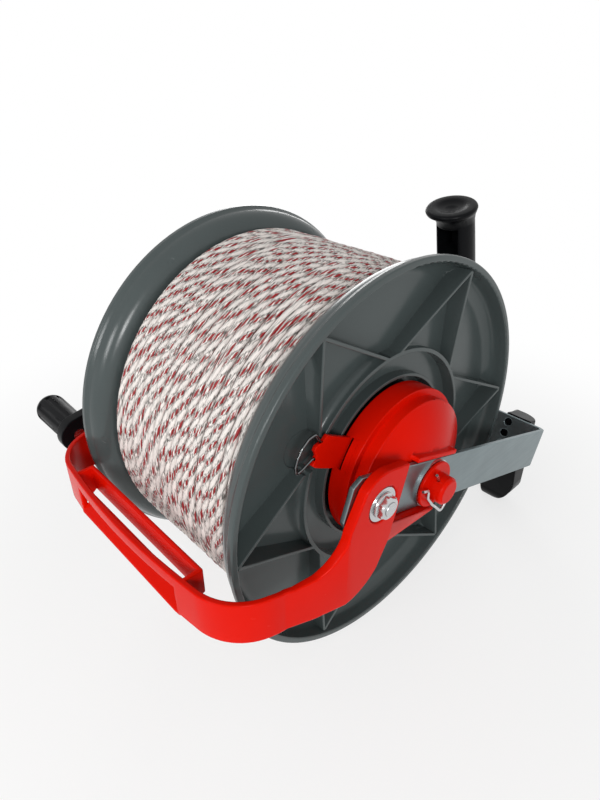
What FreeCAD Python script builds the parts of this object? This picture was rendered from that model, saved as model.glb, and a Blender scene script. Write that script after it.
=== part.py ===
import FreeCAD, Part
import math
import os
from types import SimpleNamespace
from FreeCAD import Placement, Rotation, Vector
from Sketcher import Constraint

# Hand reel for electric fence rope. Row frame: +X to the rear grip, -X to the red bail, the spool
# turns about Y, the crank is at +Y, +Z is up. The origin is on the floor under the spool's middle.

SIZES = [
    # spool
    ("flange_radius", 125.0), ("spool_width", 153.0), ("flange_depth", 17.5), ("web_thickness", 2.5),
    ("rim_roll_radius", 12.0), ("rim_wall", 2.5), ("lip_height", 3.5), ("lip_inner_radius", 121.0),
    ("hub_ring_radius", 71.0), ("hub_ring_wall", 2.5), ("hub_ring_depth", 6.6),
    ("hub_bore_radius", 52.5), ("hub_wall", 2.0), ("hub_rim_depth", 8.6),
    ("hub_floor_depth", 18.5), ("hub_floor_thickness", 3.0), ("hub_boss_radius", 12.5),
    ("hub_boss_length", 12.5), ("rib_count", 6), ("rib_spread", 26.0), ("rib_thickness", 2.0),
    ("rib_tip_depth", 1.5), ("rib_phase", 1.7), ("core_wall", 3.0), ("core_gap", 0.3),
    ("lock_pocket_radius", 11.0), ("lock_pocket_reach", 75.0), ("lock_pocket_angle", 152.0),
    ("lock_pocket_depth", 16.0), ("drum_bush_wall", 1.9),
    ("tie_radius", 2.5), ("tie_reach", 44.0), ("tie_count", 4), ("tie_head_radius", 4.5),
    ("tie_head_height", 2.6), ("tie_nut_flats", 8.0),
    # rope
    ("rope_diameter", 5.5), ("rope_pitch", 6.0), ("rope_side_gap", 0.5), ("rope_outer_radius", 113.8),
    ("rope_seat_gap", 0.2),
    # strap frame
    ("strap_width", 30.0), ("strap_thickness", 3.0), ("strap_tilt", 18.6), ("strap_gap", 22.0),
    ("strap_front_reach", 75.0), ("strap_rear_reach", 160.0), ("strap_bend_radius", 3.0),
    ("strap_corner_cut", 5.0), ("cross_hole_radius", 3.1), ("cross_hole_pitch", 9.5),
    ("cross_hole_inset", 29.0), ("bail_bolt_reach", 54.0),
    # shaft and what turns with it
    ("shaft_radius", 6.0), ("running_gap", 0.06), ("bush_wall", 2.0), ("bush_flange_radius", 12.0),
    ("bush_flange_thickness", 2.0), ("washer_radius", 15.0), ("washer_thickness", 1.5),
    ("cap_radius", 8.5), ("cap_flange_radius", 14.5), ("cap_flange_thickness", 2.0),
    ("cap_length", 9.5), ("cap_end_wall", 2.5), ("clip_wire_radius", 0.85),
    # planetary gears
    ("gear_module", 1.75), ("sun_teeth", 24), ("planet_teeth", 12), ("gear_width", 10.0),
    ("pressure_angle", 25.0), ("tooth_backlash", 0.14), ("planet_count", 3),
    ("carrier_thickness", 4.0), ("carrier_radius", 38.0), ("carrier_hub_radius", 12.0),
    ("planet_pin_radius", 3.0), ("cross_pin_radius", 1.5), ("sun_flange_radius", 24.0),
    ("sun_flange_thickness", 3.0), ("gear_floor_gap", 3.3),
    # hub cover
    ("cover_radius", 50.0), ("cover_wall", 2.5), ("cover_front_radius", 46.0), ("cover_rim_depth", 9.0),
    ("cover_front_height", 7.4), ("cover_boss_length", 10.0), ("cover_boss_radius", 17.0),
    ("cover_dome_radius", 80.0),
    ("lug_front_reach", 21.0), ("lug_rear_reach", 20.0), ("lug_height", 3.1),
    # lock lever
    ("lock_angle", 148.5), ("lever_pivot_reach", 46.5), ("lever_reach", 79.1), ("lever_width", 18.6),
    ("lever_thickness", 2.5), ("lever_drop", 2.4), ("lock_pin_radius", 1.0), ("lever_barrel_radius", 2.4),
    ("lock_wire_radius", 0.75), ("lock_wire_side", 4.8),
    # bail
    ("bail_thickness", 3.5), ("bail_plate_thickness", 6.0), ("bail_front_reach", 147.0),
    ("bail_corner_reach", 143.0), ("bail_corner_side", 66.0), ("bail_corner_radius", 34.0),
    ("bail_top_drop", 8.0), ("bail_bottom_drop", 35.0), ("grip_recess_length", 104.0),
    ("grip_length", 118.0), ("grip_depth", 17.0), ("grip_inner_wall", 2.6), ("grip_rail_height", 8.0),
    # bolts through the bail and strap
    ("bolt_radius", 4.0), ("bolt_clearance", 0.2), ("bolt_head_flats", 13.0), ("bolt_head_height", 5.3),
    ("nut_height", 5.0), ("bolt_stand_out", 0.8), ("bolt_washer_radius", 10.0),
    ("bolt_washer_thickness", 1.6), ("washer_recess_depth", 2.0), ("cup_head_radius", 9.0),
    ("cup_head_height", 3.2),
    # rear grip
    ("grip_lean", 14.6), ("grip_radius", 14.0), ("grip_top_height", 241.0), ("grip_top_reach", 143.6),
    ("grip_disc_radius", 18.8), ("grip_disc_thickness", 4.0),
    ("grip_cell_height", 22.0), ("grip_cell_width", 18.0), ("grip_cell_count", 5),
    ("grip_rib_thickness", 2.4), ("grip_back_wall", 6.0), ("grip_base_width", 44.0),
    ("grip_screw_radius", 3.0), ("grip_screw_side", 12.0), ("grip_screw_length", 22.0),
    # rear feet
    ("foot_inset", 13.0), ("foot_width", 38.0), ("foot_depth", 22.0), ("foot_sole_front", 160.0),
    ("foot_sole_rear", 168.0),
    ("foot_stud_radius", 3.0), ("foot_stud_length", 1.5),
    # crank
    ("crank_reach", 117.8), ("crank_angle", 188.5), ("crank_arm_thickness", 8.0),
    ("crank_arm_gap", 8.0), ("crank_hub_radius", 16.0), ("crank_tip_radius", 13.0),
    ("crank_boss_radius", 14.0),
    ("crank_recess_depth", 3.0), ("crank_rim_width", 3.5), ("knob_radius", 11.0),
    ("knob_length", 44.5), ("knob_flutes", 8), ("spindle_radius", 4.0), ("crank_bolt_radius", 3.0),
    ("crank_bolt_length", 9.0),
]


class Size(float):
    """A number of the sheet, or one worked out from them, with the expression that gives it."""

    def __new__(cls, value, text):
        size = super().__new__(cls, value)
        size.text = text
        return size

    def __add__(self, other):
        return Size(float(self) + float(other), f"({self.text} + {as_text(other)})")

    def __radd__(self, other):
        return Size(float(other) + float(self), f"({as_text(other)} + {self.text})")

    def __sub__(self, other):
        return Size(float(self) - float(other), f"({self.text} - {as_text(other)})")

    def __rsub__(self, other):
        return Size(float(other) - float(self), f"({as_text(other)} - {self.text})")

    def __mul__(self, other):
        return Size(float(self) * float(other), f"({self.text} * {as_text(other)})")

    def __rmul__(self, other):
        return Size(float(other) * float(self), f"({as_text(other)} * {self.text})")

    def __truediv__(self, other):
        return Size(float(self) / float(other), f"({self.text} / {as_text(other)})")

    def __neg__(self):
        return Size(-float(self), f"(-1 * {self.text})")


def as_text(value):
    return value.text if isinstance(value, Size) else repr(float(value))


doc = FreeCAD.newDocument("fence_reel")
sheet = doc.addObject("Spreadsheet::Sheet", "Sizes")
for row, (alias, value) in enumerate(SIZES, start=1):
    sheet.set(f"A{row}", alias)
    sheet.set(f"B{row}", str(value))
    sheet.setAlias(f"B{row}", alias)
doc.recompute()
S = SimpleNamespace(**{alias: Size(sheet.get(alias), f"Sizes.{alias}") for alias, value in SIZES})

# Clearances.
FACE_GAP = 0.3
TURNING_FACE_GAP = 0.15
PIN_GAP = 0.05

# Places along the spool's axis, as distances from the middle plane.
HALF = S.spool_width / 2
WEB_INNER = HALF - S.flange_depth
WEB_OUTER = WEB_INNER + S.web_thickness
HUB_FLOOR = HALF - S.hub_floor_depth
STRAP_IN = HALF + S.strap_gap
STRAP_OUT = STRAP_IN + S.strap_thickness
PLATE_OUT = STRAP_OUT + S.bail_plate_thickness
RECESS_FLOOR = PLATE_OUT - S.washer_recess_depth
COVER_FRONT = STRAP_IN - S.cover_boss_length
COVER_STEP = COVER_FRONT - S.cover_front_height
COVER_INNER = COVER_FRONT - S.cover_wall
GEAR_START = HUB_FLOOR + S.gear_floor_gap
GEAR_END = GEAR_START + S.gear_width
CARRIER_START = GEAR_END + 1.0
CARRIER_END = CARRIER_START + S.carrier_thickness
CARRIER_HUB_END = COVER_INNER - FACE_GAP
COVER_RIM = HALF - S.cover_rim_depth
LEVER_TOP = HALF - S.lever_drop
CAP_START = STRAP_OUT + S.washer_thickness + TURNING_FACE_GAP
CLIP_PLACE = CAP_START + S.cap_flange_thickness + 3.5
CAP_END = CAP_START + S.cap_flange_thickness + S.cap_length
ARM_IN = STRAP_OUT + S.crank_arm_gap
ARM_OUT = ARM_IN + S.crank_arm_thickness
CRANK_HUB_START = STRAP_OUT + S.bush_flange_thickness + TURNING_FACE_GAP
KNOB_START = ARM_OUT + TURNING_FACE_GAP
KNOB_END = KNOB_START + S.knob_length
CARRIER_ANGLE = S.crank_angle - 90
CLIP_ANGLE = 116.0

# Radii of what runs on the shaft.
SHAFT_BORE = S.shaft_radius + S.running_gap
BUSH_OUTER = S.shaft_radius + S.bush_wall
DRUM_BUSH_OUTER = SHAFT_BORE + S.drum_bush_wall
CORE_INNER = S.hub_bore_radius + S.hub_wall + S.core_gap
CORE_OUTER = CORE_INNER + S.core_wall
ROPE_LINE = S.rope_outer_radius - S.rope_diameter / 2
GEAR_REACH = (S.sun_teeth + S.planet_teeth) * S.gear_module / 2
RING_TEETH = S.sun_teeth + 2 * S.planet_teeth
RING_OUTER = S.cover_radius - S.cover_wall - 0.1

AXLE = Vector(0, 0, S.flange_radius)
TILT = Rotation(Vector(0, 1, 0), S.strap_tilt)
HALF_STRAP = S.strap_width / 2

finished = []


def outward(near, distance=0.0, angle=0.0, tilted=False):
    """Placement with local Z pointing out of the reel's near (-Y) or far (+Y) side, Y upward."""
    turn = Rotation(Vector(1, 0, 0), 90)
    if not near:
        turn = Rotation(Vector(0, 0, 1), 180).multiply(turn)
    if tilted:
        turn = TILT.multiply(turn)
    turn = turn.multiply(Rotation(Vector(0, 0, 1), angle))
    base = AXLE + turn.multVec(Vector(0, 0, distance))
    return Placement(base, turn)


def bind(target, **values):
    """Sets properties, through the sheet where the value comes from it."""
    for name, value in values.items():
        if isinstance(value, Size):
            target.setExpression(name, value.text)
        else:
            setattr(target, name, value)


def finish(target, name):
    """Names a finished sub-part after its file."""
    target.Label = name
    finished.append((name, target))
    return target


def polar(radius, degrees):
    angle = math.radians(degrees)
    return Vector(radius * math.cos(angle), radius * math.sin(angle), 0)


def arc_middle(start, end, radius):
    """Middle point of the shorter arc; a negative radius runs clockwise."""
    chord = end - start
    half = chord.Length / 2
    size = max(abs(radius), half)
    rise = size - math.sqrt(max(size * size - half * half, 0.0))
    side = Vector(chord.y, -chord.x, 0).normalize()
    return (start + end) * 0.5 + side * math.copysign(rise, radius)


def plain_body(name, placement):
    """Body that is cut or joined further before it is finished."""
    body = doc.addObject("PartDesign::Body", name + "_body")
    body.Placement = placement
    return body


def new_body(name, placement):
    return finish(plain_body(name, placement), name)


def new_sketch(body, role, offset=0.0, angle=0.0):
    """Sketch on one of the body's origin planes, moved along the plane's normal."""
    sketch = body.newObject("Sketcher::SketchObject", "profile")
    plane = next(item for item in body.Origin.OriginFeatures if item.Role == role)
    sketch.AttachmentSupport = [(plane, "")]
    sketch.MapMode = "FlatFace"
    sketch.AttachmentOffset = Placement(Vector(0, 0, 0), Rotation(Vector(0, 0, 1), angle))
    if isinstance(offset, Size):
        sketch.setExpression("AttachmentOffset.Base.z", offset.text)
    else:
        sketch.AttachmentOffset = Placement(Vector(0, 0, offset), Rotation(Vector(0, 0, 1), angle))
    return sketch


def outline(sketch, vertices):
    """Closed outline. (x, y) ends a straight edge, (x, y, radius) an arc, clockwise if negative."""
    corners = [Vector(vertex[0], vertex[1], 0) for vertex in vertices]
    first = sketch.GeometryCount
    edges = []
    ends = []
    radii = []
    for index, vertex in enumerate(vertices):
        start = corners[index - 1]
        end = corners[index]
        if len(vertex) == 2:
            edges.append(Part.LineSegment(start, end))
            ends.append((1, 2))
            continue
        middle = arc_middle(start, end, vertex[2])
        if vertex[2] > 0:
            edges.append(Part.Arc(start, middle, end))
            ends.append((1, 2))
        else:
            edges.append(Part.Arc(end, middle, start))
            ends.append((2, 1))
        if abs(vertex[2]) > 0.51 * (end - start).Length:
            radii.append((first + index, vertex[2] if vertex[2] > 0 else -vertex[2]))
    sketch.addGeometry(edges, False)
    rules = []
    bound = []
    for index, vertex in enumerate(vertices):
        follower = (index + 1) % len(vertices)
        rules.append(Constraint("Coincident", first + index, ends[index][1],
                                first + follower, ends[follower][0]))
        for kind, value in (("DistanceX", vertex[0]), ("DistanceY", vertex[1])):
            bound.append((len(rules), value))
            rules.append(Constraint(kind, -1, 1, first + index, ends[index][1], float(value)))
    for index, radius in radii:
        bound.append((len(rules), radius))
        rules.append(Constraint("Radius", index, float(radius)))
    apply_rules(sketch, rules, bound)


def circle(sketch, radius, x=0.0, y=0.0):
    index = sketch.addGeometry(Part.Circle(Vector(x, y, 0), Vector(0, 0, 1), radius), False)
    rules = [
        Constraint("Radius", index, float(radius)),
        Constraint("DistanceX", -1, 1, index, 3, float(x)),
        Constraint("DistanceY", -1, 1, index, 3, float(y)),
    ]
    apply_rules(sketch, rules, [(0, radius), (1, x), (2, y)])


def apply_rules(sketch, rules, bound):
    """Adds constraints and ties those whose value is a Size to the sheet."""
    places = sketch.addConstraint(rules)
    for index, value in bound:
        if isinstance(value, Size):
            sketch.setExpression(f"Constraints[{places[index]}]", value.text)


def feature(body, kind, sketch, **values):
    """Adds a sketch based feature and makes sure that it changed the solid."""
    before = body.Shape.Volume if body.Tip else 0.0
    item = body.newObject("PartDesign::" + kind, kind.lower())
    item.Profile = sketch
    bind(item, **values)
    sketch.Visibility = False
    doc.recompute()
    change = body.Shape.Volume - before
    if kind in ("Pocket", "Groove") and change >= -1e-6:
        raise ValueError(f"{body.Label}: {item.Name} cuts nothing")
    if kind in ("Pad", "Revolution", "AdditiveLoft") and change <= 1e-6:
        raise ValueError(f"{body.Label}: {item.Name} adds nothing")
    return item


def pad(body, sketch, length, **values):
    return feature(body, "Pad", sketch, Length=length, **values)


def pad_both(body, sketch, length):
    return feature(body, "Pad", sketch, Length=length, SideType="Symmetric")


def pocket(body, sketch, length, **values):
    return feature(body, "Pocket", sketch, Length=length, **values)


def pocket_both(body, sketch, length):
    return feature(body, "Pocket", sketch, Length=length, SideType="Symmetric")


def revolve(body, sketch, kind="Revolution"):
    """Full turn about the vertical axis of the sketch."""
    return feature(body, kind, sketch, ReferenceAxis=(sketch, ["V_Axis"]), Angle=360.0)


def around(body, original, count):
    """Copies a feature evenly about the body's Z axis."""
    pattern = body.newObject("PartDesign::PolarPattern", "around")
    pattern.Originals = [original]
    axis = next(item for item in body.Origin.OriginFeatures if item.Role == "Z_Axis")
    pattern.Axis = (axis, [""])
    pattern.Angle = 360
    bind(pattern, Occurrences=count)
    body.Tip = pattern
    doc.recompute()
    return pattern


def turned(name, near, vertices, angle=0.0, tilted=False):
    """Body turned about the spool's axis: its outline is (radius, distance from the middle)."""
    body = new_body(name, outward(near, angle=angle, tilted=tilted))
    sketch = new_sketch(body, "XZ_Plane")
    outline(sketch, vertices)
    revolve(body, sketch)
    return body


def ring(name, near, outer, inner, start, end):
    return turned(name, near, [(inner, start), (outer, start), (outer, end), (inner, end)])


def primitive(kind, placement, **values):
    item = doc.addObject("Part::" + kind, kind.lower())
    bind(item, **values)
    item.Placement = placement
    return item


def cylinder(radius, height, placement):
    return primitive("Cylinder", placement, Radius=radius, Height=height)


def hexagon(flats, height, placement):
    return primitive("Prism", placement, Polygon=6, Circumradius=flats / math.sqrt(3), Height=height)


def fuse(items):
    item = doc.addObject("Part::MultiFuse", "joined")
    item.Shapes = items
    return item


def cut(base, tool):
    item = doc.addObject("Part::Cut", "cut")
    item.Base = base
    item.Tool = tool
    return item


def group(name, items):
    """One node that holds several separate solids."""
    item = doc.addObject("Part::Compound", "group")
    item.Links = items
    return finish(item, name)


def shaped(name, shape, placement):
    """Sub-part whose shape is worked out directly from the sheet's sizes."""
    item = doc.addObject("Part::Feature", name + "_shape")
    item.Shape = shape
    item.Placement = placement
    return finish(item, name)


def rounded_path(points, radius):
    """Wire of straight runs joined by tangent arcs."""
    edges = []
    last = points[0]
    for index in range(1, len(points) - 1):
        corner = points[index]
        back = (points[index - 1] - corner).normalize()
        ahead = (points[index + 1] - corner).normalize()
        half_turn = (math.pi - back.getAngle(ahead)) / 2
        reach = radius * math.tan(half_turn)
        start = corner + back * reach
        end = corner + ahead * reach
        inward = (back + ahead).normalize()
        middle = corner + inward * (radius / math.cos(half_turn) - radius)
        edges.append(Part.LineSegment(last, start).toShape())
        edges.append(Part.Arc(start, middle, end).toShape())
        last = end
    edges.append(Part.LineSegment(last, points[-1]).toShape())
    return Part.Wire(edges)


def tube(path, radius):
    """Round wire or rope along a path."""
    start = path.Edges[0]
    section = Part.Wire(Part.makeCircle(radius, start.valueAt(start.FirstParameter),
                                        start.tangentAt(start.FirstParameter)))
    shell = Part.BRepOffsetAPI.MakePipeShell(path)
    shell.add(section)
    shell.build()
    shell.makeSolid()
    return shell.shape()


def flange(name, near):
    """Moulded side of the spool: rolled rim, web, two hub rings and a hub floor with its boss."""
    rim = WEB_INNER + S.rim_roll_radius
    roll = S.flange_radius - 2.0 - S.rim_roll_radius
    inner_roll = S.rim_roll_radius - S.rim_wall
    hub_outer = S.hub_bore_radius + S.hub_wall
    ring_top = HALF - S.hub_ring_depth
    floor_in = HUB_FLOOR - S.hub_floor_thickness
    body = turned(name, near, [
        (DRUM_BUSH_OUTER, floor_in - S.hub_boss_length),
        (S.hub_boss_radius, floor_in - S.hub_boss_length),
        (S.hub_boss_radius, floor_in),
        (hub_outer, floor_in),
        (hub_outer, WEB_INNER),
        (roll, WEB_INNER),
        (roll + S.rim_roll_radius, rim, S.rim_roll_radius),
        (S.flange_radius, HALF - S.lip_height),
        (S.flange_radius, HALF - 1.0),
        (S.flange_radius - 1.0, HALF, 1.0),
        (S.lip_inner_radius + 1.0, HALF),
        (S.lip_inner_radius, HALF - 1.0, 1.0),
        (roll + inner_roll, rim),
        (roll, WEB_OUTER, -inner_roll),
        (S.hub_ring_radius, WEB_OUTER),
        (S.hub_ring_radius, ring_top),
        (S.hub_ring_radius - S.hub_ring_wall, ring_top),
        (S.hub_ring_radius - S.hub_ring_wall, WEB_OUTER),
        (hub_outer, WEB_OUTER),
        (hub_outer, HALF - S.hub_rim_depth),
        (S.hub_bore_radius, HALF - S.hub_rim_depth),
        (S.hub_bore_radius, HUB_FLOOR),
        (DRUM_BUSH_OUTER, HUB_FLOOR),
    ])
    add_ribs(body)
    holes = new_sketch(body, "XY_Plane", HUB_FLOOR + 1.0)
    for index in range(round(S.tie_count)):
        place = polar(S.tie_reach, 45 + 360 / S.tie_count * index)
        circle(holes, S.tie_radius + PIN_GAP, place.x, place.y)
    pocket(body, holes, S.hub_floor_thickness + 2.0)
    return body


def add_ribs(body):
    """Pairs of ribs from the hub ring that meet at the rim; their tops slope down to the ring."""
    foot = S.hub_ring_radius - 1.0
    tip = S.lip_inner_radius - 0.7
    half = S.rib_thickness / 2
    apex = polar(tip, 0)
    sides = []
    for sign in (1, -1):
        start = polar(foot, sign * S.rib_spread)
        run = (apex - start).normalize()
        across = Vector(-run.y, run.x, 0) * half * sign
        sides.append((start + across, start - across, run))
    (upper_out, upper_in, run), (lower_out, lower_in, low_run) = sides
    apex_in = upper_in + run * (-upper_in.y / run.y)
    tip_up = upper_out + run * ((tip - upper_out.x) / run.x)
    tip_low = lower_out + low_run * ((tip - lower_out.x) / low_run.x)
    sketch = new_sketch(body, "XY_Plane", WEB_OUTER - 0.5, S.rib_phase)
    corners = (upper_out, upper_in, apex_in, lower_in, lower_out, tip_low, tip_up)
    outline(sketch, [(corner.x, corner.y) for corner in corners])
    ribs = pad(body, sketch, HALF - S.rib_tip_depth - WEB_OUTER + 0.5)
    around(body, ribs, S.rib_count)
    slope = new_sketch(body, "XZ_Plane")
    outline(slope, [
        (foot - S.hub_ring_wall, HALF - S.hub_ring_depth),
        (S.hub_ring_radius, HALF - S.hub_ring_depth),
        (tip - 1.0, HALF - S.rib_tip_depth),
        (tip - 1.0, HALF + 3.0),
        (foot - S.hub_ring_wall, HALF + 3.0),
    ])
    revolve(body, slope, "Groove")


def front_flange():
    """Near flange, with the round pocket that the lock wire drops into."""
    body = flange("front_flange", True)
    sketch = new_sketch(body, "XY_Plane", HALF)
    place = polar(S.lock_pocket_reach, S.lock_pocket_angle)
    circle(sketch, S.lock_pocket_radius, place.x, place.y)
    pocket(body, sketch, S.lock_pocket_depth)


def drum_parts():
    ring("drum_core", True, CORE_OUTER, CORE_INNER, -WEB_INNER, WEB_INNER)
    bushes = []
    for near in (True, False):
        start = HUB_FLOOR - S.hub_floor_thickness - S.hub_boss_length
        place = outward(near, start)
        length = HUB_FLOOR - start
        bushes.append(cut(cylinder(DRUM_BUSH_OUTER, length, place), cylinder(SHAFT_BORE, length, place)))
    group("drum_bushes", bushes)
    screws = []
    nuts = []
    for index in range(round(S.tie_count)):
        place = polar(S.tie_reach, 45 + 360 / S.tie_count * index)
        near = outward(True, -HUB_FLOOR).multiply(Placement(place, Rotation()))
        length = 2 * HUB_FLOOR
        shank = cylinder(S.tie_radius, length, near)
        head = cylinder(S.tie_head_radius, S.tie_head_height,
                        outward(True, HUB_FLOOR).multiply(Placement(place, Rotation())))
        screws.append(fuse([shank, head]))
        far = outward(True, -HUB_FLOOR - 5.0).multiply(Placement(place, Rotation()))
        nut = cut(hexagon(S.tie_nut_flats, 5.0, far), cylinder(S.tie_radius, 5.0, far))
        nuts.append(nut)
    group("tie_screws", screws)
    group("tie_nuts", nuts)


def biarc(start, start_run, end, end_run):
    """Two arcs in space that leave and arrive along the given directions."""
    chord = end - start
    both = start_run + end_run
    quad = 2 * (1 - start_run.dot(end_run))
    lead = chord.dot(both)
    reach = (-lead + math.sqrt(lead * lead + quad * chord.dot(chord))) / quad
    first = start + start_run * reach
    second = end - end_run * reach
    joint = (first + second) * 0.5
    return [corner_arc(start, first, joint), corner_arc(joint, second, end)]


def corner_arc(start, corner, end):
    """Arc tangent to both runs that meet at the corner."""
    back = (start - corner).normalize()
    ahead = (end - corner).normalize()
    half_turn = (math.pi - back.getAngle(ahead)) / 2
    radius = (start - corner).Length / math.tan(half_turn)
    inward = (back + ahead).normalize()
    middle = corner + inward * (radius / math.cos(half_turn) - radius)
    return Part.Arc(start, middle, end).toShape()


def rope():
    """Plain core of the inner layers and the outer layer, one rope wound on it."""
    core_outer = ROPE_LINE - S.rope_diameter / 2 - S.rope_seat_gap
    ring("rope_core", True, core_outer, CORE_OUTER + S.rope_seat_gap,
         -WEB_INNER + FACE_GAP, WEB_INNER - FACE_GAP)
    rise = S.rope_pitch / 2
    half_turns = math.floor((2 * WEB_INNER - 2 * S.rope_side_gap - S.rope_diameter) / rise)
    start = -half_turns * rise / 2
    slope = S.rope_pitch / (2 * math.pi)
    points = []
    runs = []
    for index in range(half_turns + 1):
        angle = math.pi * index
        ray = Vector(math.cos(angle), math.sin(angle), 0)
        points.append(ray * ROPE_LINE + Vector(0, 0, start + rise * index))
        runs.append(Vector(-ray.y * ROPE_LINE, ray.x * ROPE_LINE, slope).normalize())
    edges = [Part.LineSegment(points[0] - runs[0] * S.rope_diameter, points[0]).toShape()]
    for index in range(half_turns):
        edges += biarc(points[index], runs[index], points[index + 1], runs[index + 1])
    edges.append(Part.LineSegment(points[-1], points[-1] + runs[-1] * S.rope_diameter).toShape())
    report_gap(edges, S.rope_diameter, 2 * math.pi * ROPE_LINE)
    shaped("rope_winding", tube(Part.Wire(edges), S.rope_diameter / 2), outward(True))


def report_gap(edges, diameter, turn_length):
    """Prints the least gap of the winding to itself, measured between points on neighbouring turns."""
    samples = []
    length = 0.0
    for edge in edges:
        points = edge.discretize(13)
        samples += [(length + edge.Length * step / 12, point) for step, point in enumerate(points)]
        length += edge.Length
    least = 1e9
    for index, (place, point) in enumerate(samples):
        for other_place, other in samples[index:]:
            if 0.6 * turn_length < other_place - place < 1.4 * turn_length:
                least = min(least, point.distanceToPoint(other))
    print(f"rope winding: least gap to itself {least - diameter:.2f} mm, length {length / 1000:.2f} m")


def strap_frame():
    """Flat bar bent to a U about the spool, tilted down to the rear."""
    body = new_body("strap_frame", Placement(AXLE, TILT))
    rear = S.strap_rear_reach
    outer_bend = S.strap_bend_radius + S.strap_thickness
    inner_rear = rear - S.strap_thickness
    sketch = new_sketch(body, "XY_Plane")
    outline(sketch, [
        (-S.strap_front_reach, -STRAP_IN),
        (-S.strap_front_reach, -STRAP_OUT),
        (rear - outer_bend, -STRAP_OUT),
        (rear, outer_bend - STRAP_OUT, outer_bend),
        (rear, STRAP_OUT - outer_bend),
        (rear - outer_bend, STRAP_OUT, outer_bend),
        (-S.strap_front_reach, STRAP_OUT),
        (-S.strap_front_reach, STRAP_IN),
        (inner_rear - S.strap_bend_radius, STRAP_IN),
        (inner_rear, STRAP_IN - S.strap_bend_radius, -S.strap_bend_radius),
        (inner_rear, S.strap_bend_radius - STRAP_IN),
        (inner_rear - S.strap_bend_radius, -STRAP_IN, -S.strap_bend_radius),
    ])
    pad_both(body, sketch, S.strap_width)
    holes = new_sketch(body, "XZ_Plane")
    circle(holes, BUSH_OUTER)
    circle(holes, S.bolt_radius + S.bolt_clearance, -S.bail_bolt_reach, 0)
    for sign in (1, -1):
        edge = sign * HALF_STRAP
        outline(holes, [
            (-S.strap_front_reach - 1.0, edge + sign * 1.0),
            (-S.strap_front_reach - 1.0, edge - sign * S.strap_corner_cut),
            (-S.strap_front_reach, edge - sign * S.strap_corner_cut),
            (S.strap_corner_cut - S.strap_front_reach, edge),
            (S.strap_corner_cut - S.strap_front_reach, edge + sign * 1.0),
        ])
    pocket_both(body, holes, 3 * STRAP_OUT)
    cross = new_sketch(body, "YZ_Plane", rear + 1.0)
    for sign in (1, -1):
        for step in (-1, 0, 1):
            circle(cross, S.cross_hole_radius, sign * (STRAP_OUT - S.cross_hole_inset),
                   S.cross_hole_pitch * step)
        circle(cross, S.grip_screw_radius + PIN_GAP, S.grip_screw_side * sign, 0)
    pocket(body, cross, S.strap_thickness + 2.0)


def hub_cover():
    """Moulded cover of the gears, held from turning by the lug on the strap's upper edge."""
    inner = S.cover_radius - S.cover_wall
    front_inner = S.cover_front_radius - S.cover_wall
    body = turned("hub_cover", True, [
        (BUSH_OUTER, COVER_INNER),
        (S.cover_boss_radius, COVER_INNER),
        (S.cover_boss_radius, STRAP_IN - S.cover_wall - 1.0),
        (front_inner, COVER_INNER, -S.cover_dome_radius),
        (front_inner, COVER_STEP - S.cover_wall),
        (inner, COVER_STEP - S.cover_wall),
        (inner, COVER_RIM),
        (S.cover_radius, COVER_RIM),
        (S.cover_radius, COVER_STEP),
        (S.cover_front_radius, COVER_STEP),
        (S.cover_front_radius, COVER_FRONT - 1.0),
        (S.cover_front_radius - 1.0, COVER_FRONT, 1.0),
        (S.cover_boss_radius, STRAP_IN, S.cover_dome_radius),
        (BUSH_OUTER, STRAP_IN),
    ], tilted=True)
    lug = new_sketch(body, "XY_Plane", COVER_INNER + 1.0)
    outline(lug, [
        (-S.lug_front_reach, HALF_STRAP + 0.2),
        (S.lug_rear_reach, HALF_STRAP + 0.2),
        (S.lug_rear_reach, HALF_STRAP + S.lug_height),
        (-S.lug_front_reach, HALF_STRAP + S.lug_height),
    ])
    pad(body, lug, STRAP_OUT - COVER_INNER - 1.0)
    side = S.lever_width / 2 + FACE_GAP
    angle = S.lock_angle + S.strap_tilt
    cheeks = new_sketch(body, "XY_Plane", COVER_STEP - 1.0, angle)
    for sign in (1, -1):
        outline(cheeks, [
            (S.lever_pivot_reach - 3.0, sign * side),
            (inner + 0.5, sign * side),
            (inner + 0.5, sign * (side + 2.5)),
            (S.lever_pivot_reach - 3.0, sign * (side + 2.5)),
        ])
    pad(body, cheeks, COVER_STEP - LEVER_TOP + 1.2, Reversed=True)
    lift_room = 2.6
    window = new_sketch(body, "XY_Plane", LEVER_TOP + lift_room, angle)
    outline(window, [
        (S.lever_pivot_reach - 3.0, -side),
        (S.cover_radius + 2.0, -side),
        (S.cover_radius + 2.0, side),
        (S.lever_pivot_reach - 3.0, side),
    ])
    pocket(body, window, lift_room + S.lever_thickness + 0.4)
    hole = new_sketch(body, "XZ_Plane", 0.0)
    hole.AttachmentOffset = Placement(Vector(0, 0, 0), Rotation(Vector(0, 1, 0), angle))
    circle(hole, S.lock_pin_radius, S.lever_pivot_reach, LEVER_TOP)
    pocket_both(body, hole, 2 * side + 5.0)


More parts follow.
